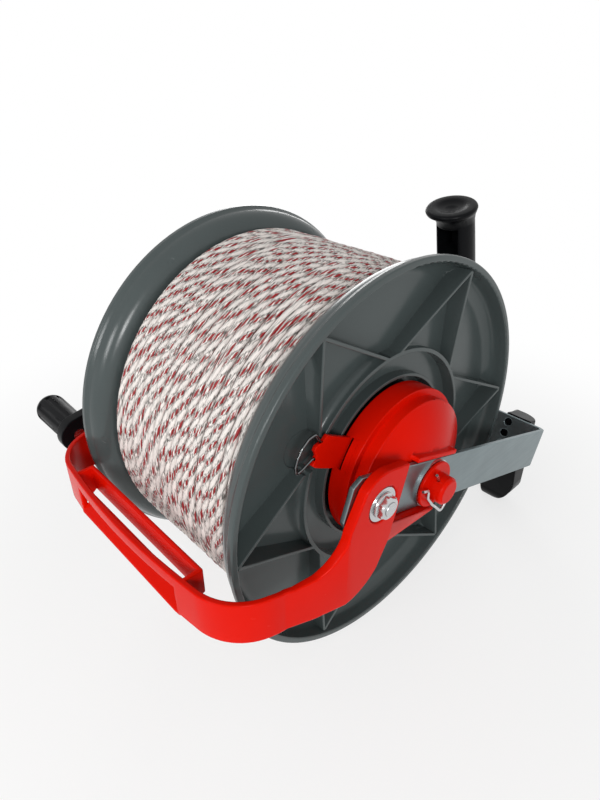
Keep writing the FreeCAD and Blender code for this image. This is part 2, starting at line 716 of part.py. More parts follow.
def lock_parts():
    """Red lever hinged in the cover's window, its pin and the wire loop that it carries."""
    half = S.lever_width / 2
    pivot = S.lever_pivot_reach
    body = new_body("lock_lever", outward(True, angle=S.lock_angle))
    plate = new_sketch(body, "XY_Plane", LEVER_TOP)
    outline(plate, [
        (pivot, -half),
        (S.lever_reach - 5.0, -half),
        (S.lever_reach - 3.7, -5.5),
        (S.lever_reach, -2.2),
        (S.lever_reach, 0.2),
        (S.lever_reach - 3.6, 2.6),
        (S.lever_reach - 3.3, half - 0.8),
        (S.lever_reach - 6.4, half),
        (pivot, half),
    ])
    pad(body, plate, S.lever_thickness, Reversed=True)
    barrel = new_sketch(body, "XZ_Plane")
    circle(barrel, S.lever_barrel_radius, pivot, LEVER_TOP)
    pad_both(body, barrel, S.lever_width)
    bore = new_sketch(body, "XZ_Plane")
    circle(bore, S.lock_pin_radius + PIN_GAP, pivot, LEVER_TOP)
    pocket_both(body, bore, S.lever_width + 2.0)
    wire_height = LEVER_TOP - S.lever_thickness / 2
    wire_seat = 8.0
    holes = new_sketch(body, "YZ_Plane", S.lever_reach + 1.0)
    for side in (1, -1):
        circle(holes, S.lock_wire_radius + PIN_GAP, side * S.lock_wire_side, wire_height)
    pocket(body, holes, wire_seat + 1.0)
    pin_length = S.lever_width + 2 * (FACE_GAP + 2.5)
    pin_place = outward(True, LEVER_TOP, angle=S.lock_angle).multiply(
        Placement(Vector(pivot, -pin_length / 2, 0), Rotation(Vector(1, 0, 0), -90)))
    finish(cylinder(S.lock_pin_radius, pin_length, pin_place), "lock_pin")
    wire_end = FACE_GAP - wire_seat
    loop = [
        (wire_end, -S.lock_wire_side),
        (-2.6, -S.lock_wire_side),
        (3.2, -8.2),
        (6.8, -5.1),
        (8.8, 0.3),
        (9.0, 6.2),
        (8.0, 10.5),
        (5.1, 14.5),
        (1.9, 11.3),
        (-2.6, S.lock_wire_side),
        (wire_end, S.lock_wire_side),
    ]
    points = [Vector(S.lever_reach + x, y, wire_height) for x, y in loop]
    path = rounded_path(points, 1.5)
    shaped("lock_wire", tube(path, S.lock_wire_radius), outward(True, angle=S.lock_angle))


def bail_handle():
    """Moulded carrying bail: an eye plate on each arm, rounded corners and a hollow hand grip."""
    body = new_body("bail_handle", Placement(AXLE, Rotation()))
    wall = S.bail_thickness
    front = S.bail_corner_reach
    side = S.bail_corner_side
    radius = S.bail_corner_radius
    taper_out = PLATE_OUT - 9.5
    taper_in = taper_out - wall + 0.1
    bow = S.bail_front_reach - front
    bow_radius = (side * side + bow * bow) / (2 * bow)
    plan = new_sketch(body, "XY_Plane")
    outline(plan, [
        (-25.0, -STRAP_OUT),
        (-25.0, -PLATE_OUT),
        (-76.0, -PLATE_OUT),
        (radius - front, -taper_out),
        (-front, -side, -radius),
        (-front, side, -bow_radius),
        (radius - front, taper_out, -radius),
        (-76.0, PLATE_OUT),
        (-25.0, PLATE_OUT),
        (-25.0, STRAP_OUT),
        (-76.0, STRAP_OUT),
        (radius - front + 0.8, taper_in),
        (wall - front, side, radius - wall),
        (wall - front, -side, bow_radius + wall),
        (radius - front + 0.8, -taper_in, radius - wall),
        (-76.0, -STRAP_OUT),
    ])
    pad_both(body, plan, 100.0)
    silhouette = new_sketch(body, "XZ_Plane")
    outline(silhouette, [(-160.0, -60.0), (0.0, -60.0), (0.0, 60.0), (-160.0, 60.0)])
    outline(silhouette, [
        (-41.0, -3.0),
        (-31.0, 33.0),
        (-45.0, 36.4),
        (-64.7, 31.6, 18.5),
        (-75.0, 12.0),
        (-92.6, -9.2, -28.0),
        (-104.0, -10.4),
        (-117.0, -S.bail_top_drop),
        (-155.0, -S.bail_top_drop),
        (-155.0, -S.bail_bottom_drop),
        (-117.0, -S.bail_bottom_drop - 0.5),
        (-94.0, -38.0),
        (-71.4, -37.2),
        (-52.0, -27.0, 32.0),
        (-43.0, -11.0),
    ])
    pocket_both(body, silhouette, 4 * STRAP_OUT)
    bail_ledges(body)
    bail_bolt_holes(body)
    bail_grip(body)


def bail_ledges(body):
    """Tapering tail of each eye plate, hooked under the strap's lower edge."""
    tilt = math.radians(S.strap_tilt)
    along = Vector(math.cos(tilt), -math.sin(tilt), 0)
    across = Vector(math.sin(tilt), math.cos(tilt), 0)
    under = -HALF_STRAP - 0.2
    corners = [along * reach + across * height
               for reach, height in ((-42.0, under), (5.0, under), (4.0, under - 1.8), (-34.0, -27.0),
                                     (-46.0, -29.0))]
    for near in (True, False):
        sketch = new_sketch(body, "XZ_Plane", PLATE_OUT - 1.0 if near else -PLATE_OUT + 1.0)
        vertices = [(corner.x, corner.y) for corner in corners]
        outline(sketch, vertices)
        pad(body, sketch, PLATE_OUT - 1.0 - STRAP_IN - FACE_GAP, Reversed=near)


def bail_bolt_holes(body):
    tilt = math.radians(S.strap_tilt)
    x = -S.bail_bolt_reach * math.cos(tilt)
    z = S.bail_bolt_reach * math.sin(tilt)
    through = new_sketch(body, "XZ_Plane")
    circle(through, S.bolt_radius + S.bolt_clearance, x, z)
    pocket_both(body, through, 4 * STRAP_OUT)
    for near in (True, False):
        seat = new_sketch(body, "XZ_Plane", PLATE_OUT + 1.0 if near else -PLATE_OUT - 1.0)
        circle(seat, S.bolt_washer_radius + 0.6, x, z)
        pocket(body, seat, S.washer_recess_depth + 1.0, Reversed=not near)


def bail_grip(body):
    """Hand grip: upper rail, slot, slanted lower strip and inner wall, closed by end walls."""
    front = S.bail_front_reach
    top = -S.bail_top_drop
    bottom = -S.bail_bottom_drop
    back = front - S.grip_depth
    slot = new_sketch(body, "XZ_Plane")
    outline(slot, [
        (-front - 2.0, top - S.grip_rail_height),
        (-front - 2.0, bottom - 2.0),
        (-front + 12.0, bottom - 2.0),
        (-front + 12.0, top - S.grip_rail_height),
    ])
    pocket_both(body, slot, S.grip_recess_length)
    bars = new_sketch(body, "XZ_Plane")
    outline(bars, [
        (-front + 2.3, bottom),
        (-front + 5.5, bottom),
        (-front + 12.5, bottom + 8.0),
        (-front + 10.6, bottom + 9.6),
        (-front + 1.6, bottom + 2.0),
    ])
    pad_both(body, bars, S.grip_recess_length + 2.0)
    wall = new_sketch(body, "XZ_Plane")
    outline(wall, [
        (-back - S.grip_inner_wall, top),
        (-back - S.grip_inner_wall, top - 17.0),
        (-back, top - 17.0),
        (-back, top),
    ])
    pad_both(body, wall, S.grip_length)
    for sign in (1, -1):
        end = new_sketch(body, "XZ_Plane", sign * (S.grip_length / 2 - S.grip_inner_wall))
        outline(end, [
            (-front + 4.5, top),
            (-front + 4.5, bottom + 1.0),
            (-back - S.grip_inner_wall + 1.0, top - 17.0),
            (-back - S.grip_inner_wall + 1.0, top),
        ])
        pad(body, end, S.grip_inner_wall, Reversed=sign < 0)


def bail_fasteners():
    """Near side: hexagon bolt with its nut outside. Far side: cup head outside, nut inside."""
    head_place = bolt_place(True, STRAP_IN - S.bolt_head_height)
    nut_start = RECESS_FLOOR + S.bolt_washer_thickness
    bolt_end = nut_start + S.nut_height + S.bolt_stand_out
    head = hexagon(S.bolt_head_flats, S.bolt_head_height, head_place)
    shank = cylinder(S.bolt_radius, bolt_end - STRAP_IN + S.bolt_head_height, head_place)
    inner_nut = STRAP_IN - S.bolt_washer_thickness - S.nut_height
    cup = cylinder(S.cup_head_radius, S.cup_head_height, bolt_place(False, RECESS_FLOOR))
    rounded = doc.addObject("Part::Fillet", "rounded")
    rounded.Base = cup
    doc.recompute()
    rim = max(range(len(cup.Shape.Edges)), key=lambda i: cup.Shape.Edges[i].CenterOfMass.y)
    rounded.Edges = [(rim + 1, S.cup_head_height * 0.7, S.cup_head_height * 0.7)]
    far_shank = cylinder(S.bolt_radius, RECESS_FLOOR - inner_nut + S.bolt_stand_out,
                         bolt_place(False, inner_nut - S.bolt_stand_out))
    group("bail_bolts", [fuse([head, shank]), fuse([rounded, far_shank])])
    washers = []
    for place in (bolt_place(True, RECESS_FLOOR), bolt_place(False, STRAP_IN - S.bolt_washer_thickness)):
        washers.append(cut(cylinder(S.bolt_washer_radius, S.bolt_washer_thickness, place),
                           cylinder(S.bolt_radius + S.bolt_clearance, S.bolt_washer_thickness, place)))
    group("bail_washers", washers)
    nuts = []
    for place in (bolt_place(True, nut_start), bolt_place(False, inner_nut)):
        nuts.append(cut(hexagon(S.bolt_head_flats, S.nut_height, place),
                        cylinder(S.bolt_radius, S.nut_height, place)))
    group("bail_nuts", nuts)


def bolt_place(near, distance):
    """Placement on a bail bolt's axis, local Z outward."""
    reach = -S.bail_bolt_reach if near else S.bail_bolt_reach
    return outward(near, distance, tilted=True).multiply(Placement(Vector(reach, 0, 0), Rotation()))


def gear_outline(teeth, tip, root, thinning):
    """Closed outline of an external gear with involute flanks, a tooth centred on the X axis."""
    pitch = teeth * S.gear_module / 2
    pressure = math.radians(S.pressure_angle)
    base = pitch * math.cos(pressure)
    half_tooth = (math.pi * S.gear_module / 2 - thinning) / (2 * pitch)
    spread = half_tooth + math.tan(pressure) - pressure

    def half_angle(radius):
        slant = math.acos(min(base / radius, 1.0))
        return math.degrees(spread - math.tan(slant) + slant)

    low = max(base, root)
    middle = (low + tip) / 2
    step = 360 / teeth
    edges = []
    for index in range(round(teeth)):
        centre = step * index
        up = [polar(radius, centre - half_angle(radius)) for radius in (low, middle, tip)]
        down = [polar(radius, centre + half_angle(radius)) for radius in (tip, middle, low)]
        foot = polar(root, centre - half_angle(low))
        heel = polar(root, centre + half_angle(low))
        if low > root:
            edges.append(Part.LineSegment(foot, up[0]))
        edges.append(Part.Arc(*up))
        edges.append(Part.Arc(up[2], polar(tip, centre), down[0]))
        edges.append(Part.Arc(*down))
        if low > root:
            edges.append(Part.LineSegment(down[2], heel))
        gap_end = polar(root, centre + step - half_angle(low))
        edges.append(Part.Arc(heel, polar(root, centre + step / 2), gap_end))
    return Part.Wire([edge.toShape() for edge in edges])


def gear_solid(outline_wire, bore=0.0):
    face = Part.Face(outline_wire)
    solid = face.extrude(Vector(0, 0, S.gear_width))
    if bore:
        solid = solid.cut(Part.makeCylinder(bore, S.gear_width))
    return solid


def gears():
    """Fixed ring gear, three planets on the crank's carrier and the drum's sun gear."""
    add = S.gear_module
    dip = 1.25 * S.gear_module
    sun_pitch = S.sun_teeth * S.gear_module / 2
    planet_pitch = S.planet_teeth * S.gear_module / 2
    ring_pitch = RING_TEETH * S.gear_module / 2
    first = CARRIER_ANGLE
    space = gear_solid(gear_outline(RING_TEETH, ring_pitch + dip, ring_pitch - add + 0.15,
                                    -S.tooth_backlash))
    rim = Part.makeCylinder(RING_OUTER, S.gear_width)
    shaped("ring_gear", rim.cut(space), outward(True, GEAR_START, angle=first + 180 / RING_TEETH))
    sun = gear_solid(gear_outline(S.sun_teeth, sun_pitch + add, sun_pitch - dip, S.tooth_backlash))
    seat = Part.makeCylinder(S.sun_flange_radius, S.sun_flange_thickness,
                             Vector(0, 0, HUB_FLOOR - GEAR_START))
    neck = Part.makeCylinder(sun_pitch - dip, S.gear_floor_gap, Vector(0, 0, HUB_FLOOR - GEAR_START))
    blank = sun.fuse([seat, neck]).removeSplitter()
    hole_depth = S.gear_width + S.gear_floor_gap + 2.0
    low = Vector(0, 0, HUB_FLOOR - GEAR_START - 1.0)
    blank = blank.cut(Part.makeCylinder(S.shaft_radius + 0.5, hole_depth, low))
    screws = []
    for index in range(3):
        place = polar(sun_pitch - dip - 6.0, 30 + 120 * index)
        blank = blank.cut(Part.makeCylinder(2.0 + PIN_GAP, hole_depth, low + place))
        length = S.gear_width + S.gear_floor_gap
        screw = Part.makeCylinder(2.0, length, place + Vector(0, 0, HUB_FLOOR - GEAR_START))
        screws.append(screw)
    shaped("sun_gear", blank, outward(True, GEAR_START, angle=first))
    shaped("sun_screws", Part.makeCompound(screws), outward(True, GEAR_START, angle=first))
    planet = gear_solid(gear_outline(S.planet_teeth, planet_pitch + add, planet_pitch - dip,
                                     S.tooth_backlash), S.planet_pin_radius + S.running_gap)
    pins = []
    for index in range(round(S.planet_count)):
        angle = first + 360 / S.planet_count * index
        centre = Placement(polar(GEAR_REACH, angle), Rotation())
        phase = Rotation(Vector(0, 0, 1), angle + 180 / S.planet_teeth)
        place = outward(True, GEAR_START).multiply(centre)
        shaped(f"planet_gear_{index + 1}", planet.copy(), place.multiply(Placement(Vector(), phase)))
        head_start = GEAR_START - 1.2
        shank = cylinder(S.planet_pin_radius, CARRIER_END - head_start,
                         outward(True, head_start).multiply(centre))
        head = cylinder(S.planet_pin_radius + 1.5, 1.0, outward(True, head_start).multiply(centre))
        pins.append(fuse([shank, head]))
    group("planet_pins", pins)


def planet_carrier():
    """Plate on the shaft that carries the planet pins, lightened between them."""
    body = new_body("planet_carrier", outward(True, angle=CARRIER_ANGLE))
    plate = new_sketch(body, "XY_Plane", CARRIER_START)
    circle(plate, S.carrier_radius)
    pad(body, plate, S.carrier_thickness)
    hub = new_sketch(body, "XY_Plane", CARRIER_START)
    circle(hub, S.carrier_hub_radius)
    pad(body, hub, CARRIER_HUB_END - CARRIER_START)
    bore = new_sketch(body, "XY_Plane", CARRIER_START - 1.0)
    circle(bore, S.shaft_radius)
    pocket(body, bore, CARRIER_HUB_END - CARRIER_START + 2.0, Reversed=True)
    seat = new_sketch(body, "XY_Plane", CARRIER_START - 1.0)
    circle(seat, S.planet_pin_radius, GEAR_REACH, 0)
    seats = pocket(body, seat, S.carrier_thickness + 2.0, Reversed=True)
    around(body, seats, S.planet_count)
    window = new_sketch(body, "XY_Plane", CARRIER_START - 1.0, 60.0)
    circle(window, 8.0, (S.carrier_hub_radius + S.carrier_radius) / 2, 0)
    windows = pocket(body, window, S.carrier_thickness + 2.0, Reversed=True)
    around(body, windows, S.planet_count)
    cross = new_sketch(body, "YZ_Plane")
    circle(cross, S.cross_pin_radius, 0, (CARRIER_END + CARRIER_HUB_END) / 2)
    pocket_both(body, cross, 3 * S.carrier_hub_radius)


def shaft_parts():
    """Crank shaft with its bushes, washer, end cap, cross pins and spring clip."""
    near_end = CAP_END - S.cap_end_wall
    far_end = ARM_OUT - 0.5
    body = new_body("crank_shaft", crank_frame())
    round_bar = new_sketch(body, "XZ_Plane")
    outline(round_bar, [
        (0, -near_end),
        (S.shaft_radius - 0.8, -near_end),
        (S.shaft_radius, 0.8 - near_end),
        (S.shaft_radius, far_end),
        (S.crank_bolt_radius, far_end),
        (S.crank_bolt_radius, far_end - S.crank_bolt_length),
        (0, far_end - S.crank_bolt_length),
    ])
    revolve(body, round_bar)
    carrier_pin = (CARRIER_END + CARRIER_HUB_END) / 2
    crank_pin = (CRANK_HUB_START + ARM_IN) / 2
    pins = new_sketch(body, "XZ_Plane")
    circle(pins, S.cross_pin_radius, 0, crank_pin)
    circle(pins, S.cross_pin_radius, 0, -carrier_pin)
    pocket_both(body, pins, 4 * S.shaft_radius)
    clip_hole = new_sketch(body, "YZ_Plane")
    turn = Rotation(Vector(0, 1, 0), S.crank_angle - CLIP_ANGLE)
    clip_hole.AttachmentOffset = Placement(Vector(0, 0, 0), turn)
    circle(clip_hole, S.clip_wire_radius + PIN_GAP, 0, -CLIP_PLACE)
    pocket_both(body, clip_hole, 4 * S.shaft_radius)
    ring("front_bush", True, BUSH_OUTER, SHAFT_BORE, COVER_INNER, STRAP_OUT)
    turned("rear_bush", False, [
        (SHAFT_BORE, STRAP_IN - 2.0),
        (BUSH_OUTER, STRAP_IN - 2.0),
        (BUSH_OUTER, STRAP_OUT),
        (S.bush_flange_radius, STRAP_OUT),
        (S.bush_flange_radius, STRAP_OUT + S.bush_flange_thickness),
        (SHAFT_BORE, STRAP_OUT + S.bush_flange_thickness),
    ])
    ring("spacer_sleeve", False, BUSH_OUTER + 1.0, SHAFT_BORE, HUB_FLOOR + TURNING_FACE_GAP, STRAP_IN - 2.0)
    ring("axle_washer", True, S.washer_radius, SHAFT_BORE, STRAP_OUT, STRAP_OUT + S.washer_thickness)
    carrier_place = outward(True, carrier_pin, angle=CARRIER_ANGLE).multiply(
        Placement(Vector(-S.carrier_hub_radius, 0, 0), Rotation(Vector(0, 1, 0), 90)))
    crank_place = crank_frame(crank_pin).multiply(
        Placement(Vector(0, -S.crank_boss_radius, 0), Rotation(Vector(1, 0, 0), -90)))
    group("cross_pins", [
        cylinder(S.cross_pin_radius, 2 * S.carrier_hub_radius, carrier_place),
        cylinder(S.cross_pin_radius, 2 * S.crank_boss_radius, crank_place),
    ])


def axle_cap():
    """Red collar on the shaft's near end."""
    body = turned("axle_cap", True, [
        (0, CAP_END),
        (0, CAP_END - S.cap_end_wall),
        (S.shaft_radius, CAP_END - S.cap_end_wall),
        (S.shaft_radius, CAP_START),
        (S.cap_flange_radius, CAP_START),
        (S.cap_flange_radius, CAP_START + S.cap_flange_thickness),
        (S.cap_radius, CAP_START + S.cap_flange_thickness),
        (S.cap_radius, CAP_END - 1.5),
        (S.cap_radius - 1.5, CAP_END),
    ])
    hole = new_sketch(body, "YZ_Plane")
    hole.AttachmentOffset = Placement(Vector(0, 0, 0), Rotation(Vector(0, 1, 0), CLIP_ANGLE))
    circle(hole, S.clip_wire_radius + PIN_GAP, 0, CLIP_PLACE)
    pocket_both(body, hole, 4 * S.cap_radius)


def r_clip():
    """Spring clip: straight leg through the cap and shaft, wavy leg round the cap."""
    run = polar(1.0, CLIP_ANGLE)
    side = Vector(-run.y, run.x, 0)
    clear = S.cap_radius + S.clip_wire_radius + 0.15
    points = [
        run * (S.cap_radius + 5.0),
        run * -(S.cap_radius + 9.0),
        run * -(S.cap_radius + 10.5) + side * 5.5,
        run * -(S.cap_radius + 1.5) + side * 8.0,
        run * -4.5 + side * (clear + 0.3),
        run * 4.5 + side * (clear + 1.6),
        run * 9.5 + side * (clear - 0.6),
        run * 14.0 + side * (clear + 3.4),
    ]
    shaped("r_clip", tube(rounded_path(points, 2.0), S.clip_wire_radius), outward(True, CLIP_PLACE))


def crank_frame(distance=0.0):
    """Placement on the far side whose local X axis points along the crank arm."""
    return outward(False, distance, angle=180.0 - S.crank_angle)


def crank_parts():
    arm_reach = S.crank_reach
    hub = S.crank_hub_radius
    tip = S.crank_tip_radius
    body = new_body("crank_arm", crank_frame())
    bar = new_sketch(body, "XY_Plane", ARM_IN)
    outline(bar, [
        (0, hub),
        (-hub, 0, hub),
        (0, -hub, hub),
        (arm_reach, -tip),
        (arm_reach + tip, 0, tip),
        (arm_reach, tip, tip),
    ])
    pad(body, bar, S.crank_arm_thickness)
    boss = new_sketch(body, "XY_Plane", ARM_IN)
    circle(boss, S.crank_boss_radius)
    pad(body, boss, ARM_IN - CRANK_HUB_START, Reversed=True)
    recess = new_sketch(body, "XY_Plane", ARM_OUT)
    rim = S.crank_rim_width
    outline(recess, [
        (hub + rim, hub - rim - 0.5),
        (hub + rim, rim + 0.5 - hub),
        (arm_reach - tip - rim, rim - tip),
        (arm_reach - tip - rim, tip - rim),
    ])
    pocket(body, recess, S.crank_recess_depth)
    bores = new_sketch(body, "XY_Plane", ARM_OUT + 1.0)
    circle(bores, S.shaft_radius)
    circle(bores, S.spindle_radius, arm_reach, 0)
    pocket(body, bores, ARM_OUT + 2.0 - CRANK_HUB_START)
    cross = new_sketch(body, "XZ_Plane")
    circle(cross, S.cross_pin_radius, 0, (CRANK_HUB_START + ARM_IN) / 2)
    pocket_both(body, cross, 3 * hub)
    washer_top = ARM_OUT + S.washer_thickness
    bolt = fuse([
        cylinder(S.crank_bolt_radius, S.crank_bolt_length + S.washer_thickness,
                 crank_frame(ARM_OUT - S.crank_bolt_length)),
        hexagon(10.0, 4.0, crank_frame(washer_top)),
    ])
    finish(bolt, "crank_bolt")
    ring("crank_washer", False, 9.0, S.crank_bolt_radius + PIN_GAP, ARM_OUT, washer_top)
    knob_parts(arm_reach)


def knob_parts(arm_reach):
    """Fluted knob that turns on a steel spindle riveted into the arm's tip."""
    place = crank_frame().multiply(Placement(Vector(arm_reach, 0, 0), Rotation()))
    spindle_end = KNOB_END - 6.0
    spindle = cylinder(S.spindle_radius, spindle_end - ARM_IN,
                       place.multiply(Placement(Vector(0, 0, ARM_IN), Rotation())))
    finish(spindle, "knob_spindle")
    body = new_body("crank_knob", place)
    bore = S.spindle_radius + S.running_gap
    dome = 7.0
    outer = S.knob_radius
    profile = new_sketch(body, "XZ_Plane")
    outline(profile, [
        (bore, KNOB_START),
        (outer - 1.5, KNOB_START),
        (outer - 0.5, KNOB_START + 1.0),
        (outer, KNOB_END - dome),
        (outer - dome, KNOB_END, dome),
        (0, KNOB_END),
        (0, spindle_end + 0.2),
        (bore, spindle_end + 0.2),
    ])
    revolve(body, profile)
    flute = new_sketch(body, "XY_Plane", KNOB_END - dome)
    circle(flute, 3.0, outer + 2.0, 0)
    flutes = pocket(body, flute, S.knob_length - dome - 3.0)
    around(body, flutes, S.knob_flutes)


def grip_place():
    """Frame of the rear grip: origin at the middle of its top disc, Z up along its lean."""
    return Placement(Vector(S.grip_top_reach, 0, S.grip_top_height), Rotation(Vector(0, 1, 0), -S.grip_lean))


def from_strap(reach, height):
    """Point of the strap's own frame seen in the frame of the rear grip, in its XZ plane."""
    point = AXLE + TILT.multVec(Vector(reach, 0, height))
    local = grip_place().inverse().multVec(point)
    return (local.x, local.z)


def rear_grip():
    """Moulded rear grip: thumb disc, column hollow on the drum side and a base on the strap."""
    body = plain_body("rear_grip", grip_place())
    shift = S.grip_disc_radius - S.grip_radius
    disc = new_sketch(body, "XZ_Plane")
    outline(disc, [
        (0, -3.2),
        (5.0, -2.2, 14.0),
        (11.0, -0.4, 14.0),
        (S.grip_disc_radius - 2.2, 0, -12.0),
        (S.grip_disc_radius, -2.0, -2.3),
        (S.grip_disc_radius - 0.6, -S.grip_disc_thickness),
        (0, -S.grip_disc_thickness),
    ])
    revolve(body, disc)
    sections = []
    for drop, radius, x in ((3.9, S.grip_disc_radius - 0.7, 0.5), (8.0, S.grip_radius + 1.2, shift - 1.2),
                            (13.0, S.grip_radius, shift)):
        sketch = new_sketch(body, "XY_Plane", -drop)
        circle(sketch, radius, x, 0)
        sections.append(sketch)
    feature(body, "AdditiveLoft", sections[0], Sections=sections[1:], Ruled=True)
    rear = S.strap_rear_reach
    column_end = -from_strap(rear, 4.0)[1]
    swell = []
    for drop, radius in ((12.9, S.grip_radius), (column_end / 2, S.grip_radius + 0.8),
                         (column_end, S.grip_radius)):
        sketch = new_sketch(body, "XY_Plane", -drop)
        circle(sketch, radius, shift, 0)
        swell.append(sketch)
    feature(body, "AdditiveLoft", swell[0], Sections=swell[1:])
    base = new_sketch(body, "XZ_Plane")
    outline(base, [from_strap(reach, height) for reach, height in (
        (rear, -15.0), (rear + 16.0, -15.0), (rear + 34.0, -4.0), (rear + 38.0, 14.0),
        (rear + 36.0, 30.0), (rear + 12.0, 32.0), (rear + 6.0, 20.0), (rear, 17.0))])
    pad_both(body, base, S.grip_base_width)
    cell = new_sketch(body, "YZ_Plane", shift + S.grip_radius - S.grip_back_wall)
    half = S.grip_cell_width / 2
    top = -15.0
    outline(cell, [(-half, top), (-half, top - S.grip_cell_height), (half, top - S.grip_cell_height),
                   (half, top)])
    cells = pocket(body, cell, 3 * S.grip_radius)
    pattern = body.newObject("PartDesign::LinearPattern", "cells")
    pattern.Originals = [cells]
    axis = next(item for item in body.Origin.OriginFeatures if item.Role == "Z_Axis")
    pattern.Direction = (axis, [""])
    pattern.Reversed = True
    bind(pattern, Length=(S.grip_cell_count - 1) * (S.grip_cell_height + S.grip_rib_thickness),
         Occurrences=S.grip_cell_count)
    body.Tip = pattern
    doc.recompute()
    finish(cut(body, fuse([grip_screw_shank(sign) for sign in (1, -1)])), "rear_grip")


def grip_screw_place(sign):
    """Head side of a screw through the cross part of the strap, local Z to the rear."""
    reach = S.strap_rear_reach - S.strap_thickness
    return Placement(AXLE, TILT).multiply(
        Placement(Vector(reach, sign * S.grip_screw_side, 0), Rotation(Vector(0, 1, 0), 90)))


def grip_screw_shank(sign):
    return cylinder(S.grip_screw_radius, S.grip_screw_length, grip_screw_place(sign))


def grip_screws():
    items = []
    for sign in (1, -1):
        head_place = grip_screw_place(sign).multiply(Placement(Vector(0, 0, -3.0), Rotation()))
        head = cylinder(S.grip_screw_radius + 2.2, 3.0, head_place)
        items.append(fuse([head, grip_screw_shank(sign)]))
    group("grip_screws", items)


def foot(name, near):
    """Moulded rear foot: pressed into three holes of the strap's cross part, sole on the floor."""
    body = plain_body(name, Placement(AXLE, Rotation()))
    side = -1 if near else 1
    outer = STRAP_OUT - S.foot_inset
    inner = outer - S.foot_width
    tilt = math.radians(S.strap_tilt)
    rear = S.strap_rear_reach
    floor = -S.flange_radius

    def strap_point(reach, height):
        return (reach * math.cos(tilt) + height * math.sin(tilt),
                height * math.cos(tilt) - reach * math.sin(tilt))

    silhouette = new_sketch(body, "XZ_Plane", outer if near else -outer)
    outline(silhouette, [
        strap_point(rear, 16.0),
        strap_point(rear, -HALF_STRAP - 1.0),
        (S.foot_sole_front - 6.0, floor + 12.0),
        (S.foot_sole_front, floor, 14.0),
        (S.foot_sole_rear, floor),
        (S.foot_sole_rear + 7.0, floor + 14.0, 17.0),
        strap_point(rear + S.foot_depth, 16.0),
    ])
    pad(body, silhouette, S.foot_width, Reversed=near)
    ahead = S.foot_sole_front - 40.0
    rear_view = new_sketch(body, "YZ_Plane", ahead)
    edge = side * outer
    toward = -side
    outline(rear_view, [
        (edge - toward * 2.0, -30.0),
        (edge - toward * 2.0, floor - 3.0),
        (edge + toward * 19.0, floor - 3.0),
        (edge + toward * 19.0, floor),
        (edge + toward * 12.0, floor + 4.0, toward * -30.0),
        (edge + toward * 4.0, floor + 15.0, toward * -30.0),
        (edge, floor + 29.0, toward * -30.0),
        (edge, -30.0),
    ])
    outline(rear_view, [
        (edge + toward * 20.5, -30.0),
        (edge + toward * 20.5, -41.5),
        (edge + toward * 31.0, -52.0),
        (edge + toward * (S.foot_width + 2.0), -56.0),
        (edge + toward * (S.foot_width + 2.0), -30.0),
    ])
    pocket(body, rear_view, 80.0, Reversed=True)
    inner_side = side * inner
    hollow = new_sketch(body, "YZ_Plane", ahead)
    outline(hollow, [
        (inner_side + toward * 2.0, floor - 3.0),
        (inner_side + toward * 2.0, floor + 40.0),
        (inner_side, floor + 40.0),
        (inner_side - toward * 6.0, floor + 18.0, toward * 40.0),
        (inner_side - toward * 9.0, floor, toward * 40.0),
        (inner_side - toward * 9.0, floor - 3.0),
    ])
    pocket(body, hollow, 80.0, Reversed=True)
    corner = new_sketch(body, "XY_Plane", 0.0)
    outline(corner, [
        (S.foot_sole_rear - 3.0, edge - toward * 1.0),
        (S.foot_sole_rear + 14.0, edge - toward * 1.0),
        (S.foot_sole_rear + 14.0, edge + toward * 19.0),
        (S.foot_sole_rear + 10.0, edge + toward * 19.0),
        (S.foot_sole_rear - 3.0, edge, toward * -18.0),
    ])
    pocket_both(body, corner, 3 * S.flange_radius)
    pieces = [body]
    for step in (-1, 0, 1):
        stud_start = rear - S.foot_stud_length
        place = Placement(AXLE, TILT).multiply(Placement(
            Vector(stud_start, side * (STRAP_OUT - S.cross_hole_inset), S.cross_hole_pitch * step),
            Rotation(Vector(0, 1, 0), 90)))
        pieces.append(cylinder(S.foot_stud_radius, S.foot_stud_length + 4.0, place))
    finish(fuse(pieces), name)


def check_and_write():
    """Stops on any failed object, then writes one file per sub-part."""
    doc.recompute()
    for item in doc.Objects:
        if "Invalid" in item.State or "Error" in item.State:
            raise ValueError(f"{item.Name} ({item.Label}) did not build: {item.State}")
    os.makedirs("parts", exist_ok=True)
    for name, item in finished:
        if item.Shape.isNull() or not item.Shape.isValid() or not item.Shape.Solids:
            raise ValueError(f"{name} is not a valid solid")
    for name, item in finished:
        item.Shape.exportStep(f"parts/{name}.step")
        print(f"{name}: {len(item.Shape.Solids)} solid(s), {item.Shape.Volume / 1000:.2f} cm3")


front_flange()
flange("rear_flange", False)
drum_parts()
rope()
strap_frame()
hub_cover()
lock_parts()
bail_handle()
bail_fasteners()
gears()
planet_carrier()
shaft_parts()
axle_cap()
r_clip()
crank_parts()
rear_grip()
grip_screws()
foot("near_foot", True)
foot("far_foot", False)
check_and_write()
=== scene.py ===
"""Dresses the solids of a hand-wound fence reel: rope, mouldings, metalwork, studio and camera."""

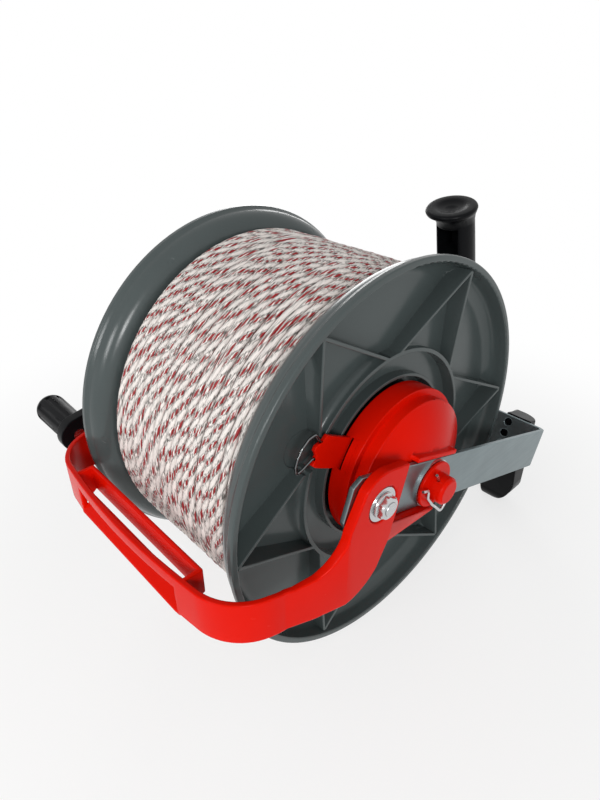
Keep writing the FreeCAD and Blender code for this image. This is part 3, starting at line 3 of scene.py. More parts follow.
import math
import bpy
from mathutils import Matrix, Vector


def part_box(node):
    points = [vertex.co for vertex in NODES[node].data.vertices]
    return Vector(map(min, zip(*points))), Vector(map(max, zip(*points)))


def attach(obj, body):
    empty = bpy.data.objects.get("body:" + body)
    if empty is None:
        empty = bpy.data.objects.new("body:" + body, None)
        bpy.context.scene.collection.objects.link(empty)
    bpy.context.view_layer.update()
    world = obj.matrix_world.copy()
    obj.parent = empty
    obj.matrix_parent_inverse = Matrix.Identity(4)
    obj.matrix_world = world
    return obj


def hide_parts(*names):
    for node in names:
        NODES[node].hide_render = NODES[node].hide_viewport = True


bl_info = {
    "name": "Fence Reel Dressing",
    "version": (1, 0, 0),
    "blender": (4, 5, 0),
    "location": "View3D > Sidebar > Fence Reel",
    "description": "Rope, mouldings, metalwork and studio for a hand-wound fence reel",
    "category": "Object",
}

import bmesh
import bpy
from bpy.props import FloatProperty, FloatVectorProperty, IntProperty, PointerProperty
from mathutils import Matrix, Vector, noise
from mathutils.bvhtree import BVHTree

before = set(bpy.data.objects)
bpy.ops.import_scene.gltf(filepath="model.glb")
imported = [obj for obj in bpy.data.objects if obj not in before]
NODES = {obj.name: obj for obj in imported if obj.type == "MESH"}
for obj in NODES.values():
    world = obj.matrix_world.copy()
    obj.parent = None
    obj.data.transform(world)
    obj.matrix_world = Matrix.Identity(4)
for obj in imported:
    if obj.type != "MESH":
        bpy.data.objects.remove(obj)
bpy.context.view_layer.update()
MM = 0.001
AXLE = Vector((0, 0, 125 * MM))
# Both in the upright plane across the axle: the strap's slope, and where the lock lever points.
STRAP_TILT = math.radians(18.6)
LEVER_TURN = math.radians(148.5)
LEVER_ALONG = Vector((math.cos(LEVER_TURN), 0, math.sin(LEVER_TURN)))


def linear(code):
    """Linear colour of an sRGB hex code."""
    channels = [int(code[place:place + 2], 16) / 255 for place in (1, 3, 5)]
    return tuple(c / 12.92 if c <= 0.04045 else ((c + 0.055) / 1.055) ** 2.4 for c in channels)


def colour(code, name, description):
    return FloatVectorProperty(name=name, description=description, subtype="COLOR", size=3,
                               min=0, max=1, default=linear(code))


class ReelColours(bpy.types.PropertyGroup):
    """Colours of the mouldings, metals and rope."""

    flange: colour("#454D4D", "Flange grey", "Moulded polypropylene of the spool")
    handle: colour("#D41202", "Handle red", "Moulded polypropylene of the bail, cover and lever")
    black: colour("#0C0D0F", "Grip black", "Moulded nylon of the grips, feet and crank")
    zinc: colour("#7D898C", "Zinc grey", "Rolled steel strap, zinc plated")
    bright: colour("#C9CACB", "Bright zinc", "Bolts, nuts, washers and clip")
    rope: colour("#EBE4DF", "Rope white", "Polyethylene yarn of the rope")
    tracer: colour("#8E0A14", "Tracer red", "Marker yarn of the rope")
    wire: colour("#7E7A76", "Conductor grey", "Metal wires twisted into the marked strands")
    spring: colour("#6F7172", "Spring wire", "Drawn steel wire of the lock")
    gear: colour("#D9D5C6", "Gear ivory", "Natural nylon of the gears")
    bronze: colour("#A9834F", "Bush bronze", "Sintered bronze of the bushes")


class ReelRope(bpy.types.PropertyGroup):
    """Sizes of the wound rope."""

    diameter: FloatProperty(name="Diameter", description="Circle round the four strands",
                            default=5.3 * MM, min=2 * MM, max=10 * MM, unit="LENGTH", precision=4)
    lay: FloatProperty(name="Lay length", description="Length in which a strand goes round once",
                       default=27.91 * MM, min=8 * MM, max=60 * MM, unit="LENGTH", precision=4)
    slack: FloatProperty(name="Uneven twist", description="Turns by which the twist runs ahead or behind",
                         default=0.9, min=0, max=3)
    pitch: FloatProperty(name="Pitch", description="Distance from one turn to the next", default=6 * MM,
                         min=3 * MM, max=12 * MM, unit="LENGTH", precision=4)
    half_turns: IntProperty(name="Half turns", description="Half turns in the outer layer", default=37,
                            min=2, max=60)
    line: FloatProperty(name="Winding radius", description="From the axle to the middle of the rope",
                        default=111.05 * MM, min=60 * MM, max=120 * MM, unit="LENGTH", precision=4)
    wander: FloatProperty(name="Wander", description="How far turns stray sideways", default=2.2 * MM,
                          min=0, max=4 * MM, unit="LENGTH", precision=5)


class ReelStage(bpy.types.PropertyGroup):
    """Camera and light levels."""

    lens: FloatProperty(name="Lens", description="Focal length on a 36 mm high frame, in millimetres",
                        default=26.4, min=10, max=200)
    world: FloatProperty(name="Sky level", description="Strength of the even light from all round",
                         default=0.4, min=0, max=3)
    lamp: FloatProperty(name="Lamp level", description="Power that each lamp takes its share of",
                        default=6.1, min=0, max=100, unit="POWER")
    floor: colour("#F7F7F6", "Floor", "Plain pale floor")


GROUPS = {"reel_colours": ReelColours, "reel_rope": ReelRope, "reel_stage": ReelStage}


def add_node(tree, kind, inputs=None, **settings):
    """Adds a node with its settings and links.

    An input given as a node is linked to its first output in use, one given as a socket is linked to
    that, and any other value is set.
    """
    node = tree.nodes.new(kind)
    for name, value in settings.items():
        setattr(node, name, value)
    for name, value in (inputs or {}).items():
        if isinstance(value, bpy.types.Node):
            value = next(socket for socket in value.outputs if socket.enabled)
        if isinstance(value, bpy.types.NodeSocket):
            tree.links.new(value, node.inputs[name])
        else:
            node.inputs[name].default_value = value
    return node


def new_tree(name):
    """The empty node tree of a new material."""
    material = bpy.data.materials.new(name)
    material.use_nodes = True
    material.node_tree.nodes.clear()
    return material.node_tree


def rgba(values):
    return (*values, 1.0)


def shade(values, factor):
    """The colour made darker or lighter by a factor, kept under 1."""
    return tuple(min(value * factor, 1.0) for value in values)


def clouds(tree, size_mm, detail, stretch=None, tilt=0.0):
    """Noise with grains of a real size, which may be drawn out along an axis tilted about Y."""
    place = add_node(tree, "ShaderNodeTexCoord").outputs["Object"]
    if stretch:
        place = add_node(tree, "ShaderNodeMapping",
                         {"Vector": place, "Rotation": (0, -tilt, 0), "Scale": stretch})
    return add_node(tree, "ShaderNodeTexNoise",
                    {"Vector": place, "Scale": 1 / (size_mm * MM), "Detail": detail})


def blotches(tree, size_mm, tone, dark, light, detail=3.0):
    """A tone that drifts between a darker and a lighter shade over patches of a real size."""
    return add_node(tree, "ShaderNodeMix",
                    {"Factor": clouds(tree, size_mm, detail), "A": rgba(shade(tone, dark)),
                     "B": rgba(shade(tone, light))}, data_type="RGBA")


def moulded(name, tone, roughness, specular, grain_mm, depth_mm):
    """Injection moulded plastic: its grain softens the shine, and flow marks make it uneven.

    The real grain is about 0.1 mm across and wouldn't show, so it is drawn coarser.
    """
    tree = new_tree(name)
    body = blotches(tree, size_mm=38, tone=tone, dark=0.9, light=1.08)
    flow = add_node(tree, "ShaderNodeMapRange",
                    {"Value": clouds(tree, size_mm=14, detail=4.0), "To Min": roughness - 0.07,
                     "To Max": roughness + 0.08})
    grain = add_node(tree, "ShaderNodeBump",
                     {"Height": clouds(tree, grain_mm, detail=2.0), "Strength": 0.6,
                      "Distance": depth_mm * MM})
    shader = add_node(tree, "ShaderNodeBsdfPrincipled",
                      {"Base Color": body, "Roughness": flow, "IOR": 1.49, "Specular IOR Level": specular,
                       "Normal": grain})
    add_node(tree, "ShaderNodeOutputMaterial", {"Surface": shader})


def plated(name, tone, roughness, streak_mm):
    """Zinc plated steel: dull blue-grey patches, and rolling lines that draw the shine out.

    The lines run along the strap. Real ones are much finer and wouldn't show, so they are drawn wider.
    """
    tree = new_tree(name)
    body = blotches(tree, size_mm=16, tone=tone, dark=0.82, light=1.12, detail=5.0)
    lines = clouds(tree, streak_mm, detail=3.0, stretch=(0.04, 1.0, 1.0), tilt=STRAP_TILT)
    shine = add_node(tree, "ShaderNodeMapRange", {"Value": lines, "To Min": roughness - 0.1,
                                                  "To Max": roughness + 0.12})
    relief = add_node(tree, "ShaderNodeBump", {"Height": lines, "Distance": 0.02 * MM, "Strength": 0.5})
    shader = add_node(tree, "ShaderNodeBsdfPrincipled",
                      {"Base Color": body, "Metallic": 1.0, "Roughness": shine, "Normal": relief})
    add_node(tree, "ShaderNodeOutputMaterial", {"Surface": shader})


def sintered(name, tone):
    """Sintered bronze: pressed powder, so a dull shine and a speckle, drawn coarse enough to show."""
    tree = new_tree(name)
    speckle = blotches(tree, size_mm=0.9, tone=tone, dark=0.7, light=1.15, detail=2.0)
    shader = add_node(tree, "ShaderNodeBsdfPrincipled",
                      {"Base Color": speckle, "Metallic": 1.0, "Roughness": 0.45})
    add_node(tree, "ShaderNodeOutputMaterial", {"Surface": shader})


def twisted_rope(name, colours):
    """Twisted rope of two white strands between two of white, steel and red yarns.

    The lay map has the place around the rope in U and its twist in V. Yarns lie along the rope on the
    crown of a strand and dive under at its edges, so the marker yarns show as short slanted dashes.
    """
    tree = new_tree(name)

    def threads(across, along, detail):
        """Noise drawn out along the rope, by its grains round the rope and in one lay."""
        round_rope = add_node(tree, "ShaderNodeMath", {0: around, 1: across}, operation="MULTIPLY")
        along_rope = add_node(tree, "ShaderNodeMath", {0: twist, 1: along}, operation="MULTIPLY")
        place = add_node(tree, "ShaderNodeCombineXYZ", {"X": round_rope, "Y": along_rope})
        return add_node(tree, "ShaderNodeTexNoise", {"Vector": place, "Scale": 1.0, "Detail": detail})

    def dyed(ground, dye, most, *limits):
        """Turns a colour into another, by a share at most, where all (pattern, from, to) are past."""
        share = most
        for pattern, low, high in limits:
            past = add_node(tree, "ShaderNodeMapRange",
                            {"Value": pattern, "From Min": low, "From Max": high},
                            interpolation_type="SMOOTHSTEP")
            share = add_node(tree, "ShaderNodeMath", {0: past, 1: share}, operation="MULTIPLY")
        return add_node(tree, "ShaderNodeMix", {"Factor": share, "A": ground, "B": dye}, data_type="RGBA")

    lay = add_node(tree, "ShaderNodeUVMap", uv_map="lay")
    parts = add_node(tree, "ShaderNodeSeparateXYZ", {"Vector": lay})
    strand = parts.outputs["X"]
    twist = parts.outputs["Y"]
    around = add_node(tree, "ShaderNodeMath", {0: strand, 1: twist}, operation="ADD")
    # In strand widths: how far from the crown of the nearest strand, and of the nearest marked one.
    on_strand = add_node(tree, "ShaderNodeMath", {0: strand, 1: 4.0, 2: 0.5}, operation="MULTIPLY_ADD")
    off_crown = add_node(tree, "ShaderNodeMath", {0: on_strand, 1: 0.5}, operation="PINGPONG")
    on_pair = add_node(tree, "ShaderNodeMath", {0: strand, 1: 4.0, 2: 1.5}, operation="MULTIPLY_ADD")
    from_marked = add_node(tree, "ShaderNodeMath", {0: on_pair, 1: 1.0}, operation="PINGPONG")
    # About 20 yarns of 0.8 mm show round the rope, drawn as grains a fifth of a lay long.
    yarns = threads(across=20.0, along=5.3, detail=2.0)
    fibres = threads(across=28.0, along=8.0, detail=1.0)
    drift = threads(across=3.0, along=0.93, detail=1.0)
    white = dyed(rgba(shade(colours.rope, 0.9)), rgba(colours.rope), 1.0, (drift, 0.35, 0.65))
    lined = dyed(white, rgba(linear("#9C9791")), 0.4, (yarns, 0.5, 0.66))
    steel = dyed(rgba(colours.wire), rgba(colours.rope), 1.0, (fibres, 0.44, 0.58))
    near_marked = add_node(tree, "ShaderNodeMath", {0: yarns, 1: 1.6, 2: from_marked},
                           operation="MULTIPLY_ADD")
    flecked = dyed(lined, steel, 1.0, (near_marked, 1.58, 1.26))
    darkened = dyed(flecked, rgba(linear("#35312F")), 0.6, (near_marked, 1.56, 1.26), (fibres, 0.42, 0.34))
    # Marker yarns come to the crown 2.1 mm apart, so two or three show side by side; some stay under.
    sway = add_node(tree, "ShaderNodeMath", {0: drift, 1: 1.2}, operation="MULTIPLY")
    markers = add_node(tree, "ShaderNodeMath", {0: around, 1: 8.0, 2: sway}, operation="MULTIPLY_ADD")
    marker = add_node(tree, "ShaderNodeMath", {0: markers}, operation="FRACT")
    on_top = threads(across=5.0, along=1.45, detail=0.0)
    dashed = dyed(darkened, rgba(colours.tracer), 1.0, (marker, 0.0, 0.1), (marker, 0.7, 0.6),
                  (from_marked, 0.35, 0.28), (on_top, 0.34, 0.4))
    # Painted shade: towards the grooves between strands the colour goes up to 0.4 of the way to a dark grey,
    # standing in for the shade that falls there.
    groove_shaded = dyed(dashed, rgba(linear("#4A4643")), 0.4, (off_crown, 0.36, 0.5))
    relief = add_node(tree, "ShaderNodeBump", {"Height": yarns, "Distance": 0.35 * MM, "Strength": 0.8})
    shader = add_node(tree, "ShaderNodeBsdfPrincipled",
                      {"Base Color": groove_shaded, "Roughness": 0.55, "IOR": 1.5, "Sheen Weight": 0.1,
                       "Sheen Roughness": 0.4, "Normal": relief})
    add_node(tree, "ShaderNodeOutputMaterial", {"Surface": shader})


def material_set():
    """The reel's materials, made once, by name."""
    colours = bpy.context.scene.reel_colours
    if "Grey moulded polypropylene" not in bpy.data.materials:
        # A fine matt mould: the webs look even and the rolled rims still show long soft glints.
        moulded("Grey moulded polypropylene", colours.flange, roughness=0.22, specular=0.3, grain_mm=0.8,
                depth_mm=0.012)
        # A polished mould: a full red whose sheen stays faint.
        moulded("Red moulded polypropylene", colours.handle, roughness=0.24, specular=0.06, grain_mm=0.9,
                depth_mm=0.006)
        # A deeper grain: the grips stay deep black and their shine is broken up.
        moulded("Black moulded nylon", colours.black, roughness=0.32, specular=0.08, grain_mm=0.6,
                depth_mm=0.04)
        # No dye and a waxy face: a dull ivory.
        moulded("Natural moulded nylon", colours.gear, roughness=0.45, specular=0.4, grain_mm=0.6,
                depth_mm=0.03)
        # Rolled flat before plating: a dull grey with faint long lines.
        plated("Zinc plated rolled steel", colours.zinc, roughness=0.36, streak_mm=1.1)
        # Turned and pressed small parts: brighter, with crisp reflections.
        plated("Bright zinc plated steel", colours.bright, roughness=0.24, streak_mm=0.6)
        # Pulled through a die: a smooth dark grey with a sharp glint along the wire.
        plated("Drawn spring steel wire", colours.spring, roughness=0.2, streak_mm=0.3)
        sintered("Sintered bronze", colours.bronze)
        twisted_rope("Twisted polyethylene rope", colours)
    return bpy.data.materials


FINISH = {
    "Grey moulded polypropylene": ("front_flange", "rear_flange", "drum_core"),
    "Red moulded polypropylene": ("bail_handle", "hub_cover", "axle_cap", "lock_lever"),
    "Black moulded nylon": ("rear_grip", "near_foot", "far_foot", "crank_arm", "crank_knob", "spacer_sleeve",
                           "ring_gear"),
    "Natural moulded nylon": ("sun_gear", "planet_gear_1", "planet_gear_2", "planet_gear_3"),
    "Zinc plated rolled steel": ("strap_frame",),
    "Bright zinc plated steel": (
        "bail_bolts", "bail_washers", "bail_nuts", "grip_screws", "axle_washer", "lock_pin", "tie_screws",
        "tie_nuts", "sun_screws", "crank_shaft", "r_clip", "planet_carrier", "planet_pins", "cross_pins",
        "crank_bolt", "crank_washer", "knob_spindle"),
    "Drawn spring steel wire": ("lock_wire",),
    "Sintered bronze": ("front_bush", "rear_bush", "drum_bushes"),
}

SOFTENED = {
    # piece: (node, body, slot, rounding in mm)
    "bail_moulding": ("bail_handle", "frame", "handle_red", 1.0),
    "cover_moulding": ("hub_cover", "frame", "handle_red", 0.6),
    "cap_moulding": ("axle_cap", "crank", "handle_red", 0.6),
    "lever_moulding": ("lock_lever", "lock", "handle_red", 0.4),
    "grip_moulding": ("rear_grip", "frame", "black_plastic", 0.6),
    "near_foot_moulding": ("near_foot", "frame", "black_plastic", 1.0),
    "far_foot_moulding": ("far_foot", "frame", "black_plastic", 1.0),
    "arm_moulding": ("crank_arm", "crank", "black_plastic", 0.7),
    "knob_moulding": ("crank_knob", "knob", "black_plastic", 0.7),
    "strap_pressing": ("strap_frame", "frame", "zinc_steel", 0.5),
    "near_flange_moulding": ("front_flange", "drum", "flange_grey", 0.4),
    "far_flange_moulding": ("rear_flange", "drum", "flange_grey", 0.4),
    "bolt_pieces": ("bail_bolts", "frame", "bright_steel", 0.4),
    "washer_pieces": ("bail_washers", "frame", "bright_steel", 0.25),
}


def finish_nodes(*names):
    """Gives carried-over nodes their material."""
    materials = material_set()
    for finish, nodes in FINISH.items():
        for name in names:
            if name in nodes:
                slots = NODES[name].data.materials
                slots.clear()
                slots.append(materials[finish])


def new_piece(name, mesh, body, finish):
    """Puts a finished mesh in the scene, riding on a body."""
    piece = bpy.data.objects.new(name, mesh)
    bpy.context.scene.collection.objects.link(piece)
    mesh.materials.append(material_set()[finish])
    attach(piece, body)
    return piece


def shaded_mesh(name, shape, sharp_from):
    """Turns a built shape into a mesh that is smooth apart from edges past an angle in degrees."""
    mesh = bpy.data.meshes.new(name)
    shape.to_mesh(mesh)
    shape.free()
    mesh.shade_smooth()
    mesh.set_sharp_from_angle(angle=math.radians(sharp_from))
    return mesh


def skin(shape, rings, closed):
    """Covers a row of rings of corners with faces, and joins the last ring to the first where closed."""
    followed = rings[1:] + rings[:1] if closed else rings[1:]
    for first, second in zip(rings, followed):
        for index in range(len(first)):
            after = (index + 1) % len(first)
            shape.faces.new((first[index], first[after], second[after], second[index]))


def flatten_rib_tips(shape):
    """Brings the tips of the ribs, which just break through the rolled rim, back to its surface."""
    # In millimetres: the radius from which the rim's inner side rises, the band outside it that the tips
    # reach into, the least height of a tip, and the rim's height, slope and bend.
    rise_radius = 117.63
    band_from, band_to = 0.02, 3.5
    tip_level = 60.9
    level, slope, bend = 61.0, 0.572, 0.126
    for vert in shape.verts:
        past = math.hypot(vert.co.x, vert.co.z - AXLE.z) / MM - rise_radius
        if band_from < past < band_to:
            rim = (level + slope * past + bend * past * past) * MM
            if tip_level * MM < abs(vert.co.y) < rim:
                vert.co.y = math.copysign(rim, vert.co.y)


def dip_lever(shape):
    """Takes the hinge barrel's top off and lets the plate dip to its hinge under the cover's wall."""
    barrel_top = -74.11 * MM
    # The dip runs from the bend in to the wall, both measured from the axle.
    bend, wall, dip = 70 * MM, 46.5 * MM, 3.0 * MM
    snap = 1e-7
    geometry = shape.verts[:] + shape.edges[:] + shape.faces[:]
    cut = bmesh.ops.bisect_plane(shape, geom=geometry, dist=snap, plane_co=(0, barrel_top, 0),
                                 plane_no=(0, -1, 0), clear_outer=True)
    rim = [item for item in cut["geom_cut"] if isinstance(item, bmesh.types.BMEdge)]
    bmesh.ops.holes_fill(shape, edges=rim)
    geometry = shape.verts[:] + shape.edges[:] + shape.faces[:]
    bmesh.ops.bisect_plane(shape, geom=geometry, dist=snap, plane_co=AXLE + LEVER_ALONG * bend,
                           plane_no=LEVER_ALONG)
    for vert in shape.verts:
        reach = (vert.co - AXLE).dot(LEVER_ALONG)
        vert.co.y += dip * min(1.0, max(0.0, (bend - reach) / (bend - wall)))


def close_window(shape):
    """Brings the cover's wall down to the lever across the window that it swings in."""
    aside = Vector((-LEVER_ALONG.z, 0, LEVER_ALONG.x))
    # In millimetres: half the window's width, the wall's radii, and its start and end along the axle.
    half_width = 9.8
    inside, outside = 47.6, 49.985
    top, bottom = -76.95, -73.4
    steps = 12
    rings = []
    for step in range(steps + 1):
        ring = []
        for radius, y in ((inside, bottom), (outside, bottom), (outside, top), (inside, top)):
            turn = (2 * step / steps - 1) * math.asin(half_width / radius)
            place = AXLE + (LEVER_ALONG * math.cos(turn) + aside * math.sin(turn)) * radius * MM
            ring.append(shape.verts.new((place.x, y * MM, place.z)))
        rings.append(ring)
    skin(shape, rings, closed=False)
    shape.faces.new(rings[0][::-1])
    shape.faces.new(rings[-1])
    bmesh.ops.recalc_face_normals(shape, faces=shape.faces)


def softened(piece_name, before=None, after=None):
    """Takes a node's place with a copy whose hard edges are rounded, as moulds and presses leave them."""
    node, body, slot, rounding_mm = SOFTENED[piece_name]
    rounding = rounding_mm * MM
    weld, least_edge = 0.002 * MM, 0.001 * MM
    flat, hard = math.radians(0.3), math.radians(30)
    # A corner that the rounding throws further than this goes back to the solid's surface.
    stray = 0.6 * rounding
    shape = bmesh.new()
    shape.from_mesh(NODES[node].data)
    bmesh.ops.remove_doubles(shape, verts=shape.verts, dist=weld)
    if before:
        before(shape)
    surface = BVHTree.FromBMesh(shape)
    bmesh.ops.dissolve_limit(shape, angle_limit=flat, verts=shape.verts, edges=shape.edges)
    corners = [edge for edge in shape.edges
               if len(edge.link_faces) == 2 and edge.is_convex and edge.calc_face_angle(0) > hard]
    bmesh.ops.bevel(shape, geom=corners, offset=rounding, offset_type="OFFSET", segments=2, profile=0.5,
                    affect="EDGES", clamp_overlap=False, loop_slide=True)
    for vert in shape.verts:
        nearest, _, _, distance = surface.find_nearest(vert.co)
        if distance > stray:
            vert.co = nearest
    bmesh.ops.dissolve_degenerate(shape, edges=shape.edges, dist=least_edge)
    if after:
        after(shape)
    finish = next(name for name, nodes in FINISH.items() if node in nodes)
    mesh = shaded_mesh(piece_name, shape, sharp_from=42)
    piece = new_piece(piece_name, mesh, body, finish)
    even = piece.modifiers.new("Even normals", "WEIGHTED_NORMAL")
    even.keep_sharp = True
    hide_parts(node)


def add_nut(shape, place, flats, height, flange):
    """Adds a hexagon nut that points to -Y, with turned-off corners, on a round flange where it has one.

    The width over flats, the height and the flange's radius are in millimetres.
    """
    outward = Vector((0, -1, 0))
    side = Vector((1, 0, 0))
    other = outward.cross(side)
    corner = flats / 2 / math.cos(math.radians(30))
    bore = 4.1
    # Each level of the nut: its height, its largest radius, and whether its outline is the hexagon.
    if flange:
        profile = [(0.0, flange - 0.4, False), (0.4, flange, False), (1.1, flange - 0.15, False),
                   (1.5, flange - 0.9, False), (1.6, corner, True)]
    else:
        profile = [(0.0, corner - 0.4, True), (0.4, corner, True), (1.0, corner, True)]
    profile += [(height - 1.1, corner, True), (height - 0.3, corner - 1.0, True),
                (height, corner - 2.0, True), (height, bore, False), (0.0, bore, False)]
    around = 72
    rings = []
    for up, limit, hexagon in profile:
        ring = []
        for index in range(around):
            turn = 2 * math.pi * index / around
            off_flat = (turn + math.pi / 6) % (math.pi / 3) - math.pi / 6
            reach = min(limit, flats / 2 / math.cos(off_flat)) if hexagon else limit
            spot = place + (side * math.cos(turn) + other * math.sin(turn)) * reach * MM
            ring.append(shape.verts.new(spot + outward * up * MM))
        rings.append(ring)
    skin(shape, rings, closed=True)


def bail_nuts():
    """The two nuts of the bail's bolts: flanged outside on the near arm, plain inside on the far one."""
    bolt_x, bolt_z = -51.18 * MM, 142.22 * MM
    near_seat = -107.1 * MM
    far_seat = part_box("bail_nuts")[1].y
    shape = bmesh.new()
    add_nut(shape, Vector((bolt_x, near_seat, bolt_z)), flats=12.0, height=5.0, flange=7.4)
    add_nut(shape, Vector((bolt_x, far_seat, bolt_z)), flats=13.0, height=5.0, flange=None)
    bmesh.ops.recalc_face_normals(shape, faces=shape.faces)
    mesh = shaded_mesh("nut_pieces", shape, sharp_from=28)
    piece = new_piece("nut_pieces", mesh, "frame", "Bright zinc plated steel")
    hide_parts("bail_nuts")


STRANDS = 4
POINTS_PER_STRAND = 5
RINGS_PER_LAY = 14
# Each drift of the winding follows its own stretch of the noise.
RISE_SEED, SIDE_SEED, TWIST_SEED = 3.7, 9.1, 6.1


def wander(seed, turn, angle, size):
    """Smooth irregular drift along the winding, the same in each run."""
    # How far the noise is read round one turn, and from one turn to the next.
    round_turn, next_turn = 1.5, 0.7
    place = Vector((round_turn * math.cos(angle) + seed, round_turn * math.sin(angle), turn * next_turn))
    return size * noise.noise(place)


def strand_section():
    """Outline of pressed strands as (x, y, place around), for a circle of radius 1."""
    strand = 0.46
    centre = 1 - strand
    # The strands press together, so the grooves between round ones are kept only to this share.
    relief = 0.32
    count = STRANDS * POINTS_PER_STRAND
    step = 2 * math.pi / count
    section = []
    for index in range(count):
        off_crown = step * (index % POINTS_PER_STRAND) - math.pi / STRANDS
        reach = centre * math.cos(off_crown) + math.sqrt(strand ** 2 - (centre * math.sin(off_crown)) ** 2)
        reach = 1 - relief + relief * reach
        turn = step * index
        section.append((reach * math.cos(turn), reach * math.sin(turn), index / count))
    return section


def rope_route(rope, steps):
    """Middle, outward direction and twist along the outer layer, whose ends are tucked under."""
    tucked_angle, tuck_depth = 0.7, 3.4 * MM
    # The turns next to the flanges are held and lie straight.
    held_turns = 3
    # The winding strays less up and down than sideways. Its drifts change at their own rates.
    rise_share, rise_rate, twist_rate = 0.45, 1.6, 0.6
    # Short ripples to the side and short changes of twist, by their size and their rate for a radian.
    ripple, ripple_rate = 0.3 * MM, 1.9
    kink, kink_rate = 0.5, 0.6
    total = math.pi * rope.half_turns
    half_width = rope.half_turns * rope.pitch / 4
    route = []
    for step in range(steps + 1):
        angle = total * step / steps
        turn = angle / (2 * math.pi)
        tuck = max(0.0, 1 - angle / tucked_angle, 1 - (total - angle) / tucked_angle)
        from_side = min(turn, rope.half_turns / 2 - turn)
        loose = min(1.0, from_side / held_turns)
        radius = rope.line - tuck_depth * tuck * tuck
        radius += wander(RISE_SEED, turn * rise_rate, angle, rope.wander * rise_share * loose)
        side = half_width - rope.pitch * turn + wander(SIDE_SEED, turn, angle, rope.wander * loose)
        side += ripple * loose * noise.noise(Vector((turn * 0.2, angle * ripple_rate, 5.0)))
        outward = Vector((math.cos(angle), 0, math.sin(angle)))
        uneven = wander(TWIST_SEED, turn * twist_rate, angle, rope.slack)
        uneven += kink * noise.noise(Vector((angle * kink_rate, 2.3, 0.7)))
        twist = angle * rope.line / rope.lay + uneven
        route.append((AXLE + outward * radius + Vector((0, side, 0)), outward, twist))
    return route


def lay_mesh(name, verts, faces, maps):
    """A smooth mesh with its lay map, which has the place around the rope and its twist."""
    mesh = bpy.data.meshes.new(name)
    mesh.from_pydata(verts, [], faces)
    layer = mesh.uv_layers.new(name="lay")
    layer.data.foreach_set("uv", [value for pair in maps for value in pair])
    mesh.shade_smooth()
    return mesh


def outer_layer(rope):
    """One unbroken tube of twisted strands, wound as the outer layer."""
    length = math.pi * rope.half_turns * rope.line
    steps = round(length / rope.lay * RINGS_PER_LAY)
    section = strand_section()
    size = len(section)
    route = rope_route(rope, steps)
    side = Vector((0, 1, 0))
    verts = []
    for centre, outward, twist in route:
        cos = math.cos(2 * math.pi * twist)
        sin = math.sin(2 * math.pi * twist)
        for x, y, _ in section:
            turned_x = x * cos - y * sin
            turned_y = x * sin + y * cos
            verts.append(tuple(centre + (outward * turned_x + side * turned_y) * rope.diameter / 2))
    faces = []
    maps = []
    for ring in range(steps):
        low = ring * size
        v = route[ring][2]
        next_v = route[ring + 1][2]
        for index in range(size):
            after = (index + 1) % size
            faces.append((low + index, low + after, low + size + after, low + size + index))
            u = section[index][2]
            next_u = u + 1 / size
            maps += [(u, v), (next_u, v), (next_u, next_v), (u, next_v)]
    for start in (0, steps * size):
        faces.append(tuple(range(start, start + size)))
        maps += [(0.5, 0.0)] * size
    return lay_mesh("rope_outer_layer", verts, faces, maps)


def inner_layer(rope):
    """The layers below: a ring whose surface is the row of turns that the outer ones lie between."""
    low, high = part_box("rope_core")
    bore = 57.9 * MM
    layer_step = 5.1 * MM
    top = rope.line - layer_step
    points_per_turn = 8
    # How far the valleys between turns lie under the layer's middle, as a share of the rope's radius.
    valley = 0.55
    around = 160
    width = high.y - low.y
    count = round(width / rope.pitch * points_per_turn)
    profile = [(bore, low.y)]
    for step in range(count + 1):
        bulge = abs(math.sin(math.pi * step / points_per_turn)) - valley
        profile.append((top + bulge * rope.diameter * 0.5, low.y + width * step / count))
    profile.append((bore, high.y))
    size = len(profile)
    lays = round(2 * math.pi * top / rope.lay)
    verts = []
    faces = []
    maps = []
    for index in range(around):
        angle = 2 * math.pi * index / around
        for radius, y in profile:
            verts.append((AXLE.x + radius * math.cos(angle), y, AXLE.z + radius * math.sin(angle)))
        first = index * size
        second = (index + 1) % around * size
        v = index / around * lays
        next_v = (index + 1) / around * lays
        for step in range(size):
            after = (step + 1) % size
            faces.append((first + step, first + after, second + after, second + step))
            u = step / points_per_turn / STRANDS % 1.0
            next_u = u + 1 / points_per_turn / STRANDS
            maps += [(u, v), (next_u, v), (next_u, next_v), (u, next_v)]
    return lay_mesh("rope_inner_layers", verts, faces, maps)


class REEL_OT_rope(bpy.types.Operator):
    """Winds the twisted rope on the drum"""

    bl_idname = "reel.rope"
    bl_label = "Rope"

    def execute(self, context):
        rope = context.scene.reel_rope
        finish = "Twisted polyethylene rope"
        outer = new_piece("rope_outer_layer", outer_layer(rope), "drum", finish)
        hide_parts("rope_winding")
        inner = new_piece("rope_inner_layers", inner_layer(rope), "drum", finish)
        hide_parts("rope_core")
        return {"FINISHED"}


class REEL_OT_spool(bpy.types.Operator):
    """Finishes the spool's flanges, core and screws"""

    bl_idname = "reel.spool"
    bl_label = "Spool"

    def execute(self, context):
        finish_nodes("drum_core", "drum_bushes", "tie_screws", "tie_nuts")
        for name in ("near_flange_moulding", "far_flange_moulding"):
            softened(name, before=flatten_rib_tips)
        return {"FINISHED"}


class REEL_OT_frame(bpy.types.Operator):
    """Finishes the strap, the bail, the feet and the rear grip"""

    bl_idname = "reel.frame"
    bl_label = "Strap, bail and grips"

    def execute(self, context):
        finish_nodes("grip_screws")
        for name in ("bail_moulding", "grip_moulding", "near_foot_moulding", "far_foot_moulding",
                     "strap_pressing", "bolt_pieces", "washer_pieces"):
            softened(name)
        bail_nuts()
        return {"FINISHED"}


